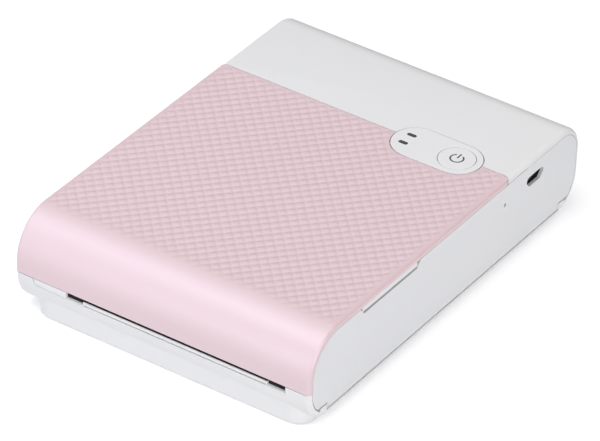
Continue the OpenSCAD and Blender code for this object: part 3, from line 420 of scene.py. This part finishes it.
def from_plate(x, y):
    """How far a point lies outside the control plate, in plan."""
    nearest = min(max(x, plate_ends[0]), plate_ends[1])
    return math.hypot(x - nearest, y - plate_mid_y) - plate_round


def emboss(a, s):
    """How far the embossing stands out of the cover at a point, in millimetres."""
    edge = min(half_width - rim_radius - abs(a), along_rear - s) - (plain_border - rim_radius)
    edge = min(edge, from_plate(a, case_front + front_bend + s) - plate_border)
    shown = ease(edge / emboss_ramp) * ease((s - emboss_gone) / (emboss_full - emboss_gone))
    if shown <= 0:
        return 0.0
    return shown * (tile(a, s) * emboss_height + emboss_top - emboss_height)


def lattice(cells):
    """A flat mesh along both ways of the tiles over the whole sheet, with so many cells in
    the length of a tile."""
    bm = bmesh.new()
    u, v = (way / cells for way in tile_ways())
    spare_reach, spare_cells = 1.2, 1.5
    reach_cells = int(spare_reach * (across_end + along_rear) / tile_pitch) * cells
    slack = tile_pitch / cells * spare_cells
    made = {}

    def corner(i, j):
        if (i, j) not in made:
            place = u * i + v * j
            made[(i, j)] = bm.verts.new((place.x, place.y, 0))
        return made[(i, j)]

    for i in range(-reach_cells, reach_cells):
        for j in range(-reach_cells, reach_cells):
            middle = u * (i + 0.5) + v * (j + 0.5)
            if (abs(middle.x) < across_end + slack
                    and along_front - slack < middle.y < along_rear + slack):
                bm.faces.new((corner(i, j), corner(i + 1, j), corner(i + 1, j + 1), corner(i, j + 1)))
    return bm


def cut_lines(bm, values, axis, keep=None):
    """Cuts a flat mesh along lines, and drops what lies past them where keep says so."""
    for value in values:
        spot, way = [0, 0, 0], [0, 0, 0]
        spot[axis], way[axis] = value, 1
        bmesh.ops.bisect_plane(bm, geom=bm.verts[:] + bm.edges[:] + bm.faces[:], dist=1e-5,
                               plane_co=spot, plane_no=way, clear_outer=keep == "below",
                               clear_inner=keep == "above")


def close_sheet(bm, lines):
    """Bends a flat sheet to its place, and adds the wall behind it with its thicker rims."""
    flat = {v: (v.co.x, v.co.y) for v in bm.verts}
    border = [v for v in bm.verts if v.is_boundary]
    for v, (a, s) in flat.items():
        v.co = skin_point(a, s, emboss(a, s)) * MM
    near = 1e-3
    sides = [sorted((v for v in border if side * flat[v][0] > across_end - near),
                    key=lambda v: flat[v][1]) for side in (-1, 1)]
    ends = [sorted((v for v in border if abs(flat[v][1] - end) < near), key=lambda v: flat[v][0])
            for end in (lines[0], lines[-1])]
    inner = [[bm.verts.new(bent(x, s, front_bend - depth) * MM)
              for x, depth in ((-room_width, rim_wall), (-room_width, wall),
                               (room_width, wall), (room_width, rim_wall))] for s in lines]
    for k, (low, high) in enumerate(zip(lines, lines[1:])):
        left, right = ([v for v in side if low - near < flat[v][1] < high + near] for side in sides)
        bm.faces.new(left + [inner[k + 1][0], inner[k][0]])
        bm.faces.new(right[::-1] + [inner[k][3], inner[k + 1][3]])
        for n in range(3):
            bm.faces.new((inner[k][n], inner[k + 1][n], inner[k + 1][n + 1], inner[k][n + 1]))
    for end, ring in zip(ends, (inner[0], inner[-1])):
        bm.faces.new(end + ring[::-1])
    bmesh.ops.recalc_face_normals(bm, faces=bm.faces)


def prism(name, outline, low, high):
    """A block with a given outline in plan, between two heights."""
    bm = bmesh.new()
    base = [bm.verts.new((x * MM, y * MM, low * MM)) for x, y in outline]
    cap = [bm.verts.new((x * MM, y * MM, high * MM)) for x, y in outline]
    bm.faces.new(base[::-1])
    bm.faces.new(cap)
    for k in range(len(outline)):
        n = (k + 1) % len(outline)
        bm.faces.new((base[k], base[n], cap[n], cap[k]))
    bmesh.ops.recalc_face_normals(bm, faces=bm.faces)
    mesh = bpy.data.meshes.new(name)
    bm.to_mesh(mesh)
    bm.free()
    block = bpy.data.objects.new(name, mesh)
    scene.collection.objects.link(block)
    return block


def cut_away(piece, blocks):
    """Cuts blocks out of a piece and removes them."""
    for block in blocks:
        tool = piece.modifiers.new("cut", "BOOLEAN")
        tool.operation = "DIFFERENCE"
        tool.solver = "EXACT"
        tool.object = block
    bpy.context.view_layer.update()
    shape = bpy.data.meshes.new_from_object(piece.evaluated_get(bpy.context.evaluated_depsgraph_get()))
    piece.modifiers.clear()
    piece.data = shape
    for block in blocks:
        bpy.data.objects.remove(block)


def arc(x, y, radius, start_deg, end_deg, steps):
    """Points of an arc in plan."""
    turns = [math.radians(start_deg + (end_deg - start_deg) * k / steps) for k in range(steps + 1)]
    return [(x + radius * math.cos(turn), y + radius * math.sin(turn)) for turn in turns]


def plate_outline(grown, steps=32):
    """The stadium of the control plate in plan, grown all round."""
    radius = plate_round + grown
    return (arc(plate_ends[1], plate_mid_y, radius, -90, 90, steps)
            + arc(plate_ends[0], plate_mid_y, radius, 90, 270, steps))


rim_steps, bend_steps = 4, 12
rim_lines = [half_width - rim_radius + rim_radius * math.pi / 2 * k / rim_steps
             for k in range(rim_steps + 1)]
edge_lines = [edge_break * part for part in (0.08, 0.3, 0.6, 1.0)]
bend_lines = [-bend_length * k / bend_steps for k in range(bend_steps + 1)]
bm = lattice(cells_per_tile)
cut_lines(bm, [across_end], 0, "below")
cut_lines(bm, [-across_end], 0, "above")
cut_lines(bm, [along_rear], 1, "below")
cut_lines(bm, [along_front], 1, "above")
cut_lines(bm, rim_lines + [-line for line in rim_lines], 0)
cut_lines(bm, [along_front + line for line in edge_lines], 1)
cut_lines(bm, [along_rear - line for line in edge_lines], 1)
cut_lines(bm, bend_lines, 1)
close_sheet(bm, [along_front] + sorted(bend_lines) + [along_rear])
for face in bm.faces:
    face.smooth = True
cover_mesh = bpy.data.meshes.new("pearl_cover")
bm.to_mesh(cover_mesh)
bm.free()
pearl_cover = bpy.data.objects.new("pearl_cover", cover_mesh)
scene.collection.objects.link(pearl_cover)

plate_seam = 0.3
past = 1.0
blocks_low, blocks_high = cover_top - 4, cover_top + past
turn_x, turn_y = half_width - cover_corner, cover_seam - cover_corner
right_corner = arc(turn_x, turn_y, cover_corner, 0, 90, 12) + [
    (turn_x, cover_seam + past), (half_width + past, cover_seam + past), (half_width + past, turn_y)]
corner_blocks = [prism("corner_block", [(side * x, y) for x, y in right_corner], blocks_low,
                       blocks_high) for side in (-1, 1)]
for cover, corners in ((pearl_cover, corner_blocks), (rear_cover, [])):
    plate_block = prism("plate_block", plate_outline(plate_seam), blocks_low, blocks_high)
    cut_away(cover, corners + [plate_block])
pearl_cover.data.set_sharp_from_angle(angle=math.radians(40))

# Pearl paint: pink in itself, and the mica in its lacquer throws back a lilac light, with
# the high IOR of the titanium dioxide that coats it
tone_mm, flake_mm = 38, 0.25
pearl_paint, tree = empty_material("pearl_pink_paint")
place = add_node(tree, "ShaderNodeTexCoord")
flow = add_node(tree, "ShaderNodeTexNoise", {"Scale": 1 / (tone_mm * MM), "Detail": 2.0},
                {"Vector": (place, "Object")})
pink = add_node(tree, "ShaderNodeMix",
                {"data_type": "RGBA", 6: linear("#e7c8c9"), 7: linear("#e5c6c6")}, {0: (flow, 0)})
# Mica flakes of 0.1 to 0.2 mm, drawn at 0.25 mm so that they just show
flakes = add_node(tree, "ShaderNodeTexVoronoi", {"Scale": 1 / (flake_mm * MM)},
                  {"Vector": (place, "Object")})
glint = add_node(tree, "ShaderNodeMapRange", {"To Min": 0.42, "To Max": 0.52},
                 {"Value": (flakes, "Distance")})
lacquer = add_node(tree, "ShaderNodeBsdfPrincipled",
                   {"IOR": 2.5, "Specular Tint": linear("#dfe9ff"), "Coat Weight": 0.2,
                    "Coat Roughness": 0.15},
                   {"Base Color": (pink, 2), "Roughness": (glint, 0)})
add_node(tree, "ShaderNodeOutputMaterial", links={"Surface": (lacquer, 0)})
pearl_cover.data.materials.clear()
pearl_cover.data.materials.append(pearl_paint)
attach(pearl_cover, "case")
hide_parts("top_cover")

# ---- Front insert ----
# The white strip with the paper slot, moulded in ABS and clipped into the front wall under
# the pearl cover. Its middle is a lip that guides the sheet, with a fine seam below.


def oblong(left, front, right, rear):
    """The corners of a rectangle in plan."""
    return [(left, front), (right, front), (right, rear), (left, rear)]


front_insert = rounded_copy("front_insert", "case", white_abs, edge_mm=0.08)
insert_low, insert_high = box_mm("front_insert")
blank_width = 11.6
slot_left, slot_right = insert_low.x + blank_width, insert_high.x
end_width = 6.0
lip_left, lip_right = slot_left + end_width, slot_right - end_width
seam_short, seam_top, seam_deep = 0.3, 11.7, 0.9
cut_away(front_insert, [prism("lip_seam", oblong(lip_left + seam_short, case_front - past,
                                                 lip_right - seam_short, case_front + seam_deep),
                              insert_low.z - past, seam_top)])

# ---- Dust seal and slot shade ----
# Black felt on the guiding lip, and a strip of black foam behind the slot that a sheet
# pushes aside. Both are glued to the insert. Their black is painted shade: it makes the slot
# read dark where shade falls inside the printer.
# Open-cell foam and felt: black, with no gloss and a coarse broken skin. The black is painted
# shade, here in the slot and in the socket's hole
black_shade_foam = moulded("black_foam_painted_shade", "#161618", "#1e1e21", roughness=0.95, ior=1.45, grain_mm=0.5,
               grain_depth_mm=0.08)
slot_floor, lip_top = 11.5, 12.55
felt_back, foam_back, ends_back = 0.4, 1.3, 1.0
felt_thick, clear = 0.06, 0.01
seal_depth = 4.3
seal_top, seal_rear = cover_low.z - 2 * clear, insert_low.y + seal_depth
slot_shade_strips = (("slot_shade_lip_felt", lip_left, lip_right, felt_back, lip_top, lip_top + felt_thick),
         ("slot_shade_seal", lip_left, lip_right, foam_back, lip_top + felt_thick + clear, seal_top),
         ("slot_shade_seal_left", slot_left + 2 * clear, lip_left, ends_back, slot_floor, seal_top),
         ("slot_shade_seal_right", lip_right, slot_right - 2 * clear, ends_back, slot_floor, seal_top))
# Black strips over the lip and behind the slot: painted shade that makes the slot read dark
for name, left, right, set_back, low, high in slot_shade_strips:
    strip = prism(name, oblong(left, insert_low.y + set_back, right, seal_rear), low + clear, high)
    strip.data.materials.append(black_shade_foam)
    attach(strip, "case")

# ---- Left side panel and cassette door ----
# Two plates in white ABS with a finer grain than the covers. The door on the right turns
# on two steel pins, and snaps behind the chassis plate with two hooks.
# The same ABS from a finer sparked mould: a shade duller and cooler than the covers
panel_abs = moulded("fine_grained_white_abs", "#e9e9ea", "#e6e6e8", roughness=0.46, ior=1.53,
                    grain_mm=0.28)
rounded_copy("left_side_panel", "case", panel_abs, edge_mm=0.2)
cassette_door = rounded_copy("cassette_door", "door", panel_abs, edge_mm=0.2)

# ---- Socket shade lining ----
# A ring of black foam, glued into a pocket behind the socket's hole in the door, round the
# charging socket. Its black is painted shade that darkens the hole, where little light gets in.
socket_low, socket_high = box_mm("usb_socket")
hole_y, hole_z = (socket_low.y + socket_high.y) / 2, (socket_low.z + socket_high.z) / 2
hole_wide, hole_high, hole_draw = 9.0, 3.6, 1.6
pocket_wall, pocket_grown = 1.1, 1.0
ring_clear, ring_mouth = 0.03, 0.04
door_inner = half_width - panel_depth


def hole_outline(grown):
    """The socket's hole seen from the side, grown all round: its lower corners are drawn in."""
    w, h = hole_wide / 2 + grown, hole_high / 2 + grown
    right = [(w - h / 2, h), (w, h / 2), (w, -h / 10), (w - hole_draw, -h)]
    return [(hole_y + y, hole_z + z) for y, z in right + [(-y, z) for y, z in right[::-1]]]


def sideways(name, outline, low, high):
    """A block whose outline is given in y and z, between two places in x."""
    block = prism(name, outline, low, high)
    for corner in block.data.vertices:
        corner.co = corner.co.z, corner.co.x, corner.co.y
    return block


cut_away(cassette_door, [sideways("pocket", hole_outline(pocket_grown), door_inner - past,
                                  half_width - pocket_wall)])
# A ring of black foam: painted shade for the inside of the socket's hole
shade_lining = sideways("socket_shade_lining", hole_outline(pocket_grown - ring_clear),
                  door_inner + 2 * clear, half_width - pocket_wall - clear)
cut_away(shade_lining, [sideways("shade_lining_hole", hole_outline(ring_mouth), door_inner - past, half_width)])
shade_lining.data.materials.clear()
shade_lining.data.materials.append(black_shade_foam)
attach(shade_lining, "door")

# ---- Finger ledge ----
# A white ABS strip on the right chassis plate that fills the upper half of the door's notch,
# so that a fingertip meets the edge of the door and not the inside. Its face leans back.
notch_top, notch_front, notch_rear = 29.0, -45.2, -16.9
ledge_low, ledge_inset, ledge_lean = 27.4, 0.22, 0.3
plate_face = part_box("right_chassis_plate")[1].x / MM
ledge = prism("finger_ledge", oblong(plate_face, notch_front, half_width - ledge_inset, notch_rear),
              ledge_low, notch_top)
for corner in ledge.data.vertices:
    if corner.co.x > (plate_face + clear) * MM and corner.co.z > (notch_top - clear) * MM:
        corner.co.x -= ledge_lean * MM
ledge.data.materials.append(white_abs)
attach(ledge, "case")

# ---- Control plate ----
# A stadium of white ABS across the seam of the two covers, put in from below so that its
# flange lies behind their edges. It frames the power button and the light windows.
rounded_copy("control_plate", "case", white_abs, edge_mm=0.2)

# ---- Power button ----
# A round ABS cap with a collar below and a stem down to its switch. The power symbol is
# pad-printed into a shallow recess, where fingers don't rub it off.
button = rounded_copy("power_button", "power_button", white_abs, edge_mm=0.2)
button_low, button_high = box_mm("power_button")
button_x, button_y = (button_low.x + button_high.x) / 2, (button_low.y + button_high.y) / 2
symbol_radius, symbol_line = 2.0, 0.5
symbol_gap_deg = 32
bar_reach = (0.15, 2.6)
recess, print_depth = 0.05, 0.02


def ring_sector(grown):
    """The open ring of the power symbol in plan."""
    start, end = 90 + symbol_gap_deg, 450 - symbol_gap_deg
    return (arc(button_x, button_y, symbol_radius + symbol_line / 2 + grown, start, end, 36)
            + arc(button_x, button_y, symbol_radius - symbol_line / 2 - grown, end, start, 36))


def symbol_bar(grown):
    """The bar of the power symbol in plan."""
    half = symbol_line / 2 + grown
    return oblong(button_x - half, button_y + bar_reach[0] - grown,
                  button_x + half, button_y + bar_reach[1] + grown)


cut_away(button, [prism("symbol_block", outline(clear), button_high.z - recess, button_high.z + past)
                  for outline in (ring_sector, symbol_bar)])
# Pad-printing ink: thin, dark grey and flat
ink = moulded("grey_pad_print_ink", "#47474c", "#4d4d52", roughness=0.6, ior=1.5, grain_mm=0.2,
              grain_depth_mm=0.001)
for name, outline in (("power_symbol_ring", ring_sector), ("power_symbol_bar", symbol_bar)):
    mark = prism(name, outline(0), button_high.z - recess - clear, button_high.z - print_depth)
    mark.data.materials.append(ink)
    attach(mark, "power_button")

# ---- Light windows ----
# Two light pipes in smoked polycarbonate that stand over the lamps of the board and end in
# two slots of the control plate.
# Polished polycarbonate with a smoke dye: near black and glassy while its lamp is off
smoked = moulded("polished_smoked_polycarbonate", "#2f2e31", "#29282b", roughness=0.16, ior=1.585,
                 grain_mm=1.5, grain_depth_mm=0.001)
finish_node("light_guides", smoked)

# ---- Power switch, reset switch and reset button ----
# Two push switches with nylon bodies on the board, and the white plunger that carries the
# push of a pin from the hole in the door to the second one.
# Glass-filled nylon: black, dull, with short fibres that mottle it
black_nylon = moulded("glass_filled_black_nylon", "#26262a", "#2f2f33", roughness=0.55, ior=1.53,
                      grain_mm=0.5, grain_depth_mm=0.01)
finish_node("power_switch", black_nylon)
finish_node("reset_switch", black_nylon)
finish_node("reset_button", white_abs)

# ---- Charging socket ----
# A shell rolled from nickel-plated strip and soldered to the board, with a nylon body and
# tongue in it. The plug reaches it through the hole in the door.


def bare_metal(name, colour, roughness, stretch, depth_mm=0.003):
    """A metal as its making left it: stretch is how long its marks run in x, y and z, in mm."""
    duller, brighter = 0.12, 0.08
    material, tree = empty_material(name)
    place = add_node(tree, "ShaderNodeTexCoord")
    scale = [1 / (length * MM) for length in stretch]
    runs = add_node(tree, "ShaderNodeMapping", {"Scale": scale}, {"Vector": (place, "Object")})
    marks = add_node(tree, "ShaderNodeTexNoise", {"Scale": 1.0, "Detail": 4.0}, {"Vector": (runs, 0)})
    gloss = add_node(tree, "ShaderNodeMapRange",
                     {"To Min": roughness - brighter, "To Max": roughness + duller},
                     {"Value": (marks, 0)})
    relief = add_node(tree, "ShaderNodeBump", {"Strength": 0.4, "Distance": depth_mm * MM},
                      {"Height": (marks, 0)})
    skin = add_node(tree, "ShaderNodeBsdfPrincipled",
                    {"Base Color": linear(colour), "Metallic": 1.0},
                    {"Roughness": (gloss, 0), "Normal": (relief, 0)})
    add_node(tree, "ShaderNodeOutputMaterial", links={"Surface": (skin, 0)})
    return material


# Nickel over rolled strip: a dark shine with faint lines along the rolling. The dark is painted
# shade, far below plain nickel, for the shell that sits deep in the door's hole
shaded_nickel = bare_metal("nickel_plated_steel_painted_dark", "#64625e", roughness=0.22, stretch=(6, 0.4, 0.4))
finish_node("usb_socket", shaded_nickel)
mouth = socket_high.x
tongue_half, tongue_thick, tongue_raise = 2.0, 0.7, 0.2
tongue_z = hole_z + tongue_raise
tongue_front, tongue_rear = mouth - 1.2, mouth - 4
body_front, body_rear, body_half = mouth - 3.2, socket_low.x + 1.0, 2.8
shell_wall = 0.35
for name, rear_end, front_end, half, low, high in (
        ("socket_tongue", tongue_rear, tongue_front, tongue_half,
         tongue_z - tongue_thick / 2, tongue_z + tongue_thick / 2),
        ("socket_body", body_rear, body_front, body_half,
         socket_low.z + shell_wall, socket_high.z - shell_wall)):
    part = prism(name, oblong(rear_end, hole_y - half, front_end, hole_y + half), low, high)
    part.data.materials.append(black_nylon)
    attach(part, "case")

# ---- Main board ----
# Fibreglass board with copper on both sides, green solder mask, and three black packages
# on its lower face. It rests on the posts of the upper paper guide.
board_top = box_mm("main_board")[1].z
board_thick = 1.0
packages_top = board_top - board_thick - 0.05
track_wide, track_apart, track_long = 0.42, 1.12, 11.9
track_grid = 7
# Solder mask over copper: glossy green, lighter over its tracks, which are 0.4 mm wide and
# 1.1 mm apart
mask, tree = empty_material("green_solder_mask_over_copper")
place = add_node(tree, "ShaderNodeTexCoord")
tracks = add_node(tree, "ShaderNodeTexBrick",
                  {"Scale": 1 / (track_grid * MM), "Color1": linear("#17573a"),
                   "Color2": linear("#195c3e"), "Mortar": linear("#25704c"),
                   "Mortar Size": track_wide / 2 / track_grid, "Mortar Smooth": 0.3,
                   "Brick Width": track_long / track_grid, "Row Height": track_apart / track_grid},
                  {"Vector": (place, "Object")})
board_axes = add_node(tree, "ShaderNodeSeparateXYZ", links={0: (place, "Object")})
package = add_node(tree, "ShaderNodeMath",
                   {"operation": "LESS_THAN", 1: packages_top * MM}, {0: (board_axes, 2)})
board_colour = add_node(tree, "ShaderNodeMix", {"data_type": "RGBA", 7: linear("#1d1d20")},
                        {0: (package, 0), 6: (tracks, 0)})
board_gloss = add_node(tree, "ShaderNodeMapRange", {"To Min": 0.28, "To Max": 0.6},
                       {"Value": (package, 0)})
skin = add_node(tree, "ShaderNodeBsdfPrincipled", {"IOR": 1.55},
                {"Base Color": (board_colour, 2), "Roughness": (board_gloss, 0)})
add_node(tree, "ShaderNodeOutputMaterial", links={"Surface": (skin, 0)})
finish_node("main_board", mask)

# ---- Battery pack ----
# Two flat lithium cells in heat-shrunk sleeve, with the strip that protects them.
# Shrunk PVC sleeve: half-gloss slate blue, a little wavy over the cells
sleeve = moulded("shrunk_slate_pvc_sleeve", "#3d4452", "#474e5c", roughness=0.3, ior=1.54, grain_mm=3.0,
                 grain_depth_mm=0.06)
rounded_copy("battery_pack", "case", sleeve, edge_mm=0.4)

# ---- Chassis plates ----
# The left plate carries the gears and bearings, and the right one frames the cassette bay
# behind the door. Both are moulded and screwed to the floor of the bottom case.
# Glass-filled ABS: mid grey, with the dull mottle of the fibres at its skin
grey_abs = moulded("glass_filled_grey_abs", "#8b8f95", "#94989e", roughness=0.5, ior=1.53, grain_mm=0.6,
                   grain_depth_mm=0.008)
finish_node("left_chassis_plate", grey_abs)
rounded_copy("right_chassis_plate", "case", white_abs, edge_mm=0.15)

# ---- Hinge pins, shafts and studs ----
# Round steel stock, cut to length and centreless ground. The hinge pins are pressed into
# the ears of the case, and the shafts run in the bores of the chassis plates.
# Ground steel: bright, with rings too fine to see that blur the light along the shaft
ground_steel = bare_metal("centreless_ground_steel", "#b7b6b3", roughness=0.24, stretch=(0.15, 3, 3))
for name in ("idler_stud", "head_pivot", "pickup_shaft", "platen_shaft", "feed_roller"):
    finish_node(name, ground_steel)
# The same stock across the other way, for the pins that run front to rear
pin_steel = bare_metal("centreless_ground_pin_steel", "#b7b6b3", roughness=0.26, stretch=(3, 0.15, 3))
finish_node("door_hinge_pins", pin_steel)

# ---- Case screws ----
# Cross-head screws for plastic, cold-headed and blue zinc plated, turned in from below
# through the floor of the case into bosses of the chassis plates.
# Zinc plating with a blue passivation: pale grey metal with a cool cast
zinc = bare_metal("blue_zinc_plated_steel", "#a3a8b0", roughness=0.3, stretch=(0.5, 0.5, 0.5))
finish_node("case_screws", zinc)

# ---- Rubber feet ----
# Four round pads of moulded rubber, glued into pockets of the plinth, so that the printer
# doesn't slide while it pulls a sheet.
# Compression-moulded rubber: dark grey, matt, with a fine open grain
foot_rubber = moulded("moulded_foot_rubber", "#3a3a3d", "#424246", roughness=0.85, ior=1.52,
                      grain_mm=0.4, grain_depth_mm=0.02)
finish_node("rubber_feet", foot_rubber)

# ---- Rollers ----
# Rubber sleeves ground to size on their shafts: the platen under the head, the pinch roller
# over the feed roller, and the tyre that picks up the sheets.
# Ground silicone rubber: charcoal and quite matt, with faint rings from the wheel
ground_rubber = moulded("ground_silicone_rubber", "#333338", "#3b3b40", roughness=0.78, ior=1.41,
                        grain_mm=0.25, grain_depth_mm=0.01)
for name in ("platen_rubber", "pinch_roller", "pickup_tyre"):
    finish_node(name, ground_rubber)

# ---- Gears and pinion ----
# A train of moulded acetal gears in one plane beside the left chassis plate, with a brass
# pinion pressed onto the shaft of the motor.
# Natural acetal: ivory white, waxy and slightly glossy
acetal = moulded("moulded_natural_acetal", "#e6e1d2", "#e0dbcb", roughness=0.34, ior=1.48)
for name in ("feed_gear", "pickup_gear", "idler_gear", "takeup_gear"):
    finish_node(name, acetal)
# Hobbed brass: yellow metal with fine lines across the teeth
brass = bare_metal("hobbed_brass", "#d3b06a", roughness=0.26, stretch=(3, 0.2, 0.2))
finish_node("motor_pinion", brass)

# ---- Drive motor, lift plate, lift spring and head bracket ----
# Pressed from sheet: the can of the motor, the plate and leaf spring that lift the sheets,
# and the arm that carries the print head.
# Hot-dip galvanised sheet: grey, with the soft crystals of the zinc, drawn at 4 mm
crystal_mm = 4
galvanised, tree = empty_material("galvanised_steel_sheet")
place = add_node(tree, "ShaderNodeTexCoord")
crystals = add_node(tree, "ShaderNodeTexVoronoi", {"Scale": 1 / (crystal_mm * MM), "Randomness": 1.0},
                    {"Vector": (place, "Object")})
shades = add_node(tree, "ShaderNodeSeparateColor", links={0: (crystals, "Color")})
zinc_gloss = add_node(tree, "ShaderNodeMapRange", {"To Min": 0.32, "To Max": 0.48},
                      {"Value": (shades, 0)})
zinc_colour = add_node(tree, "ShaderNodeMix",
                       {"data_type": "RGBA", 6: linear("#a9adb0"), 7: linear("#b7babc")},
                       {0: (shades, 1)})
skin = add_node(tree, "ShaderNodeBsdfPrincipled", {"Metallic": 1.0},
                {"Base Color": (zinc_colour, 2), "Roughness": (zinc_gloss, 0)})
add_node(tree, "ShaderNodeOutputMaterial", links={"Surface": (skin, 0)})
for name in ("drive_motor", "lift_plate", "lift_spring", "head_bracket"):
    finish_node(name, galvanised)

# ---- Paper guides and spindles ----
# Moulded in the black nylon of the switches: a guide under and one over the path of the
# sheets, and the two spindles that hold the spools of the ribbon.
for name in ("lower_paper_guide", "upper_paper_guide", "takeup_spindle", "supply_spindle"):
    finish_node(name, black_nylon)

# ---- Print head and heat sink ----
# A ceramic strip with the heater line, bonded under an extruded aluminium sink that takes
# its heat away.
# Glazed alumina: ivory and glassy
glazed = moulded("glazed_alumina_ceramic", "#dcd6c6", "#d6d0c0", roughness=0.18, ior=1.76, grain_mm=0.8,
                 grain_depth_mm=0.001)
finish_node("print_head", glazed)
# Extruded aluminium: pale satin metal with die lines along its length
aluminium = bare_metal("extruded_aluminium", "#d0d2d4", roughness=0.36, stretch=(12, 0.25, 0.25))
finish_node("heat_sink", aluminium)

# ---- Cassette ----
# A tray for the sheets and two tubes for the ribbon, in one grey moulding, with a lighter
# grip end that faces the door.
# Grained high-impact polystyrene: dark grey and dull
cassette_hips = moulded("grained_grey_polystyrene", "#4c5057", "#53575e", roughness=0.55, ior=1.59,
                        grain_mm=0.5, grain_depth_mm=0.015)
rounded_copy("cassette_case", "case", cassette_hips, edge_mm=0.15)
# The grip from a smoother mould: a mid grey with a little more shine
grip_hips = moulded("satin_grey_polystyrene", "#74787f", "#7a7e85", roughness=0.42, ior=1.59)
rounded_copy("cassette_grip", "case", grip_hips, edge_mm=0.15)

# ---- Ribbon ----
# Polyester film with panels of dye, wound from the full supply roll over the print line to
# the take-up roll, on two white spools.
# Moulded polystyrene: bright white and half-gloss
spool_hips = moulded("white_spool_polystyrene", "#dededd", "#d8d8d7", roughness=0.4, ior=1.59)
finish_node("supply_spool", spool_hips)
finish_node("takeup_spool", spool_hips)


def dye_film(name, colour, shade):
    """Coated polyester film: glossy and deep in colour, with faint bands across its length."""
    band_mm, run_mm = 0.6, 25
    material, tree = empty_material(name)
    place = add_node(tree, "ShaderNodeTexCoord")
    runs = add_node(tree, "ShaderNodeMapping",
                    {"Scale": (1 / (band_mm * MM), 1 / (run_mm * MM), 1 / (run_mm * MM))},
                    {"Vector": (place, "Object")})
    bands = add_node(tree, "ShaderNodeTexNoise", {"Scale": 1.0, "Detail": 2.0}, {"Vector": (runs, 0)})
    tint = add_node(tree, "ShaderNodeMix", {"data_type": "RGBA", 6: linear(colour), 7: linear(shade)},
                    {0: (bands, 0)})
    relief = add_node(tree, "ShaderNodeBump", {"Strength": 0.3, "Distance": 0.01 * MM},
                      {"Height": (bands, 0)})
    skin = add_node(tree, "ShaderNodeBsdfPrincipled", {"IOR": 1.65, "Roughness": 0.2},
                    {"Base Color": (tint, 2), "Normal": (relief, 0)})
    add_node(tree, "ShaderNodeOutputMaterial", links={"Surface": (skin, 0)})
    return material


# Yellow dye on the outside of the fresh roll, magenta where it crosses the print line, and
# the bruised violet of used film on the take-up roll
finish_node("supply_roll", dye_film("yellow_dye_film", "#d9a52c", "#cf9a24"))
finish_node("ribbon_web", dye_film("magenta_dye_film", "#c23c66", "#b8345d"))
finish_node("takeup_roll", dye_film("used_dye_film", "#54385f", "#4b3156"))

# ---- Paper stack ----
# Receiver sheets of 72 x 85 mm with a resin-coated face, stacked loose in the cassette's
# tray over the lift plate.
# Resin-coated paper: warm white and half-gloss; the cut edges of 0.25 mm sheets make lines.
# At a scale of 1 the bands of the wave repeat every pi / 10
sheet_mm = 0.25
receiver, tree = empty_material("resin_coated_receiver_paper")
place = add_node(tree, "ShaderNodeTexCoord")
leaves = add_node(tree, "ShaderNodeTexWave",
                  {"bands_direction": "Z", "Scale": 0.1 / (sheet_mm * MM) * math.pi, "Distortion": 0.4},
                  {"Vector": (place, "Object")})
paper_tint = add_node(tree, "ShaderNodeMix",
                      {"data_type": "RGBA", 6: linear("#e4e3de"), 7: linear("#f0efeb")},
                      {0: (leaves, 1)})
skin = add_node(tree, "ShaderNodeBsdfPrincipled", {"IOR": 1.5, "Roughness": 0.45},
                {"Base Color": (paper_tint, 2)})
add_node(tree, "ShaderNodeOutputMaterial", links={"Surface": (skin, 0)})
finish_node("paper_stack", receiver)
